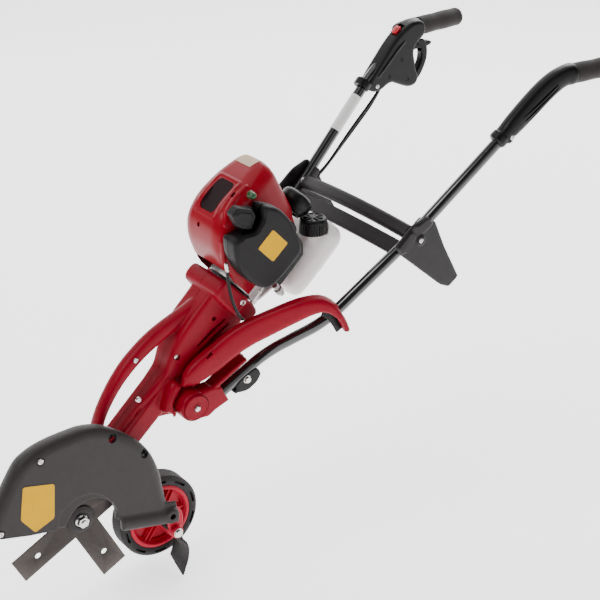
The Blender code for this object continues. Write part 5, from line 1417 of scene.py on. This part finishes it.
# plain pale band on the far tube, wrapped round its upper side
pts = tube_path(-1)
cl_a, cl_b = Vector((490, -163.1, 588.9)), Vector((545, -172.9, 638.4))
band = []
axis = (cl_b - cl_a).normalized()
side_v = Vector((0, 1, 0)) - axis * axis.y
side_v.normalize()
upv = axis.cross(side_v)
if upv.z < 0:
    upv = -upv
bm = bmesh.new()
rows_ = []
for i in range(13):
    c = cl_a.lerp(cl_b, i / 12)
    rows_.append([bm.verts.new(c + (side_v * math.cos(math.radians(g)) + upv * math.sin(math.radians(g))) * 9.75)
                  for g in range(-40, 141, 15)])
for a, b in zip(rows_, rows_[1:]):
    for i in range(len(a) - 1):
        bm.faces.new((a[i], a[i + 1], b[i + 1], b[i]))
ob = raw("tube_label", bm)
m = ob.modifiers.new("s", 'SOLIDIFY')
m.thickness = 0.0003
m.offset = 0.0
bake(ob)
done(ob, WHITE, "handlebar", (), 50)

# ------------------------------------------------- nodes kept as they are
finish_cad(["drive_tube", "drive_shaft", "crankshaft"], STEEL)
finish_cad(["clutch_drum", "clutch_shoes"], DISH)
finish_cad(["flywheel"], ALU)

# ------------------------------------------------------- floor and lights
FLOOR = surface("studio_floor", (0.93, 0.93, 0.93), vary=0.01, rough=0.55, rough_var=0.03, grain=0.05, grain_mm=3.0,
                mottle_mm=400.0, spec=0.2)
glow = FLOOR.node_tree.nodes["Principled BSDF"]
glow.inputs["Emission Color"].default_value = (1, 1, 1, 1)
glow.inputs["Emission Strength"].default_value = 1.7
bm = bmesh.new()
prof = [(-6.0, 0.0), (2.6, 0.0)] + [(2.6 + 1.2 * math.sin(math.radians(g)), 1.2 - 1.2 * math.cos(math.radians(g)))
                                   for g in range(8, 90, 8)] + [(3.8, 1.2), (3.8, 6.0)]
view_dir = (aim - cam.location)
view_dir.z = 0
view_dir.normalize()
side_dir = Vector((-view_dir.y, view_dir.x, 0))
rows_ = []
for d, h in prof:
    rows_.append([bm.verts.new(view_dir * d + side_dir * w + Vector((0, 0, h - 0.0006))) for w in (-7, -3, 0, 3, 7)])
for a, b in zip(rows_, rows_[1:]):
    for i in range(4):
        bm.faces.new((a[i], a[i + 1], b[i + 1], b[i]))
bmesh.ops.recalc_face_normals(bm, faces=bm.faces)
me = bpy.data.meshes.new("studio_floor")
bm.to_mesh(me)
bm.free()
floor = bpy.data.objects.new("studio_floor", me)
bpy.context.scene.collection.objects.link(floor)
me.materials.append(FLOOR)
me.shade_smooth()


def area_light(name, loc, target, size, power, col=(1, 1, 1), size_y=None):
    ld = bpy.data.lights.new(name, 'AREA')
    ld.energy = power
    ld.shape = 'RECTANGLE'
    ld.size = size
    ld.size_y = size_y or size
    ld.color = col
    lo_ = bpy.data.objects.new(name, ld)
    bpy.context.scene.collection.objects.link(lo_)
    lo_.location = loc
    lo_.rotation_mode = 'QUATERNION'
    lo_.rotation_quaternion = (Vector(target) - Vector(loc)).to_track_quat('-Z', 'Y')
    return lo_


mid = Vector((0.0, 0.0, 0.35))
right_dir = Vector((view_dir.y, -view_dir.x, 0))
area_light("key_softbox", mid - view_dir * 1.2 - right_dir * 2.0 + Vector((0, 0, 2.6)), mid, 1.8, 66)
area_light("fill_softbox", mid - view_dir * 2.2 + right_dir * 2.4 + Vector((0, 0, 1.2)), mid, 2.2, 20)
area_light("top_softbox", mid + view_dir * 0.4 + Vector((0, 0, 3.0)), mid, 2.6, 32)
area_light("rim_softbox", mid + view_dir * 2.4 + right_dir * 1.2 + Vector((0, 0, 2.0)), mid, 1.4, 38)
world = bpy.data.worlds.new("studio")
bpy.context.scene.world = world
world.use_nodes = True
world.node_tree.nodes["Background"].inputs[0].default_value = (1, 1, 1, 1)
world.node_tree.nodes["Background"].inputs[1].default_value = 0.14
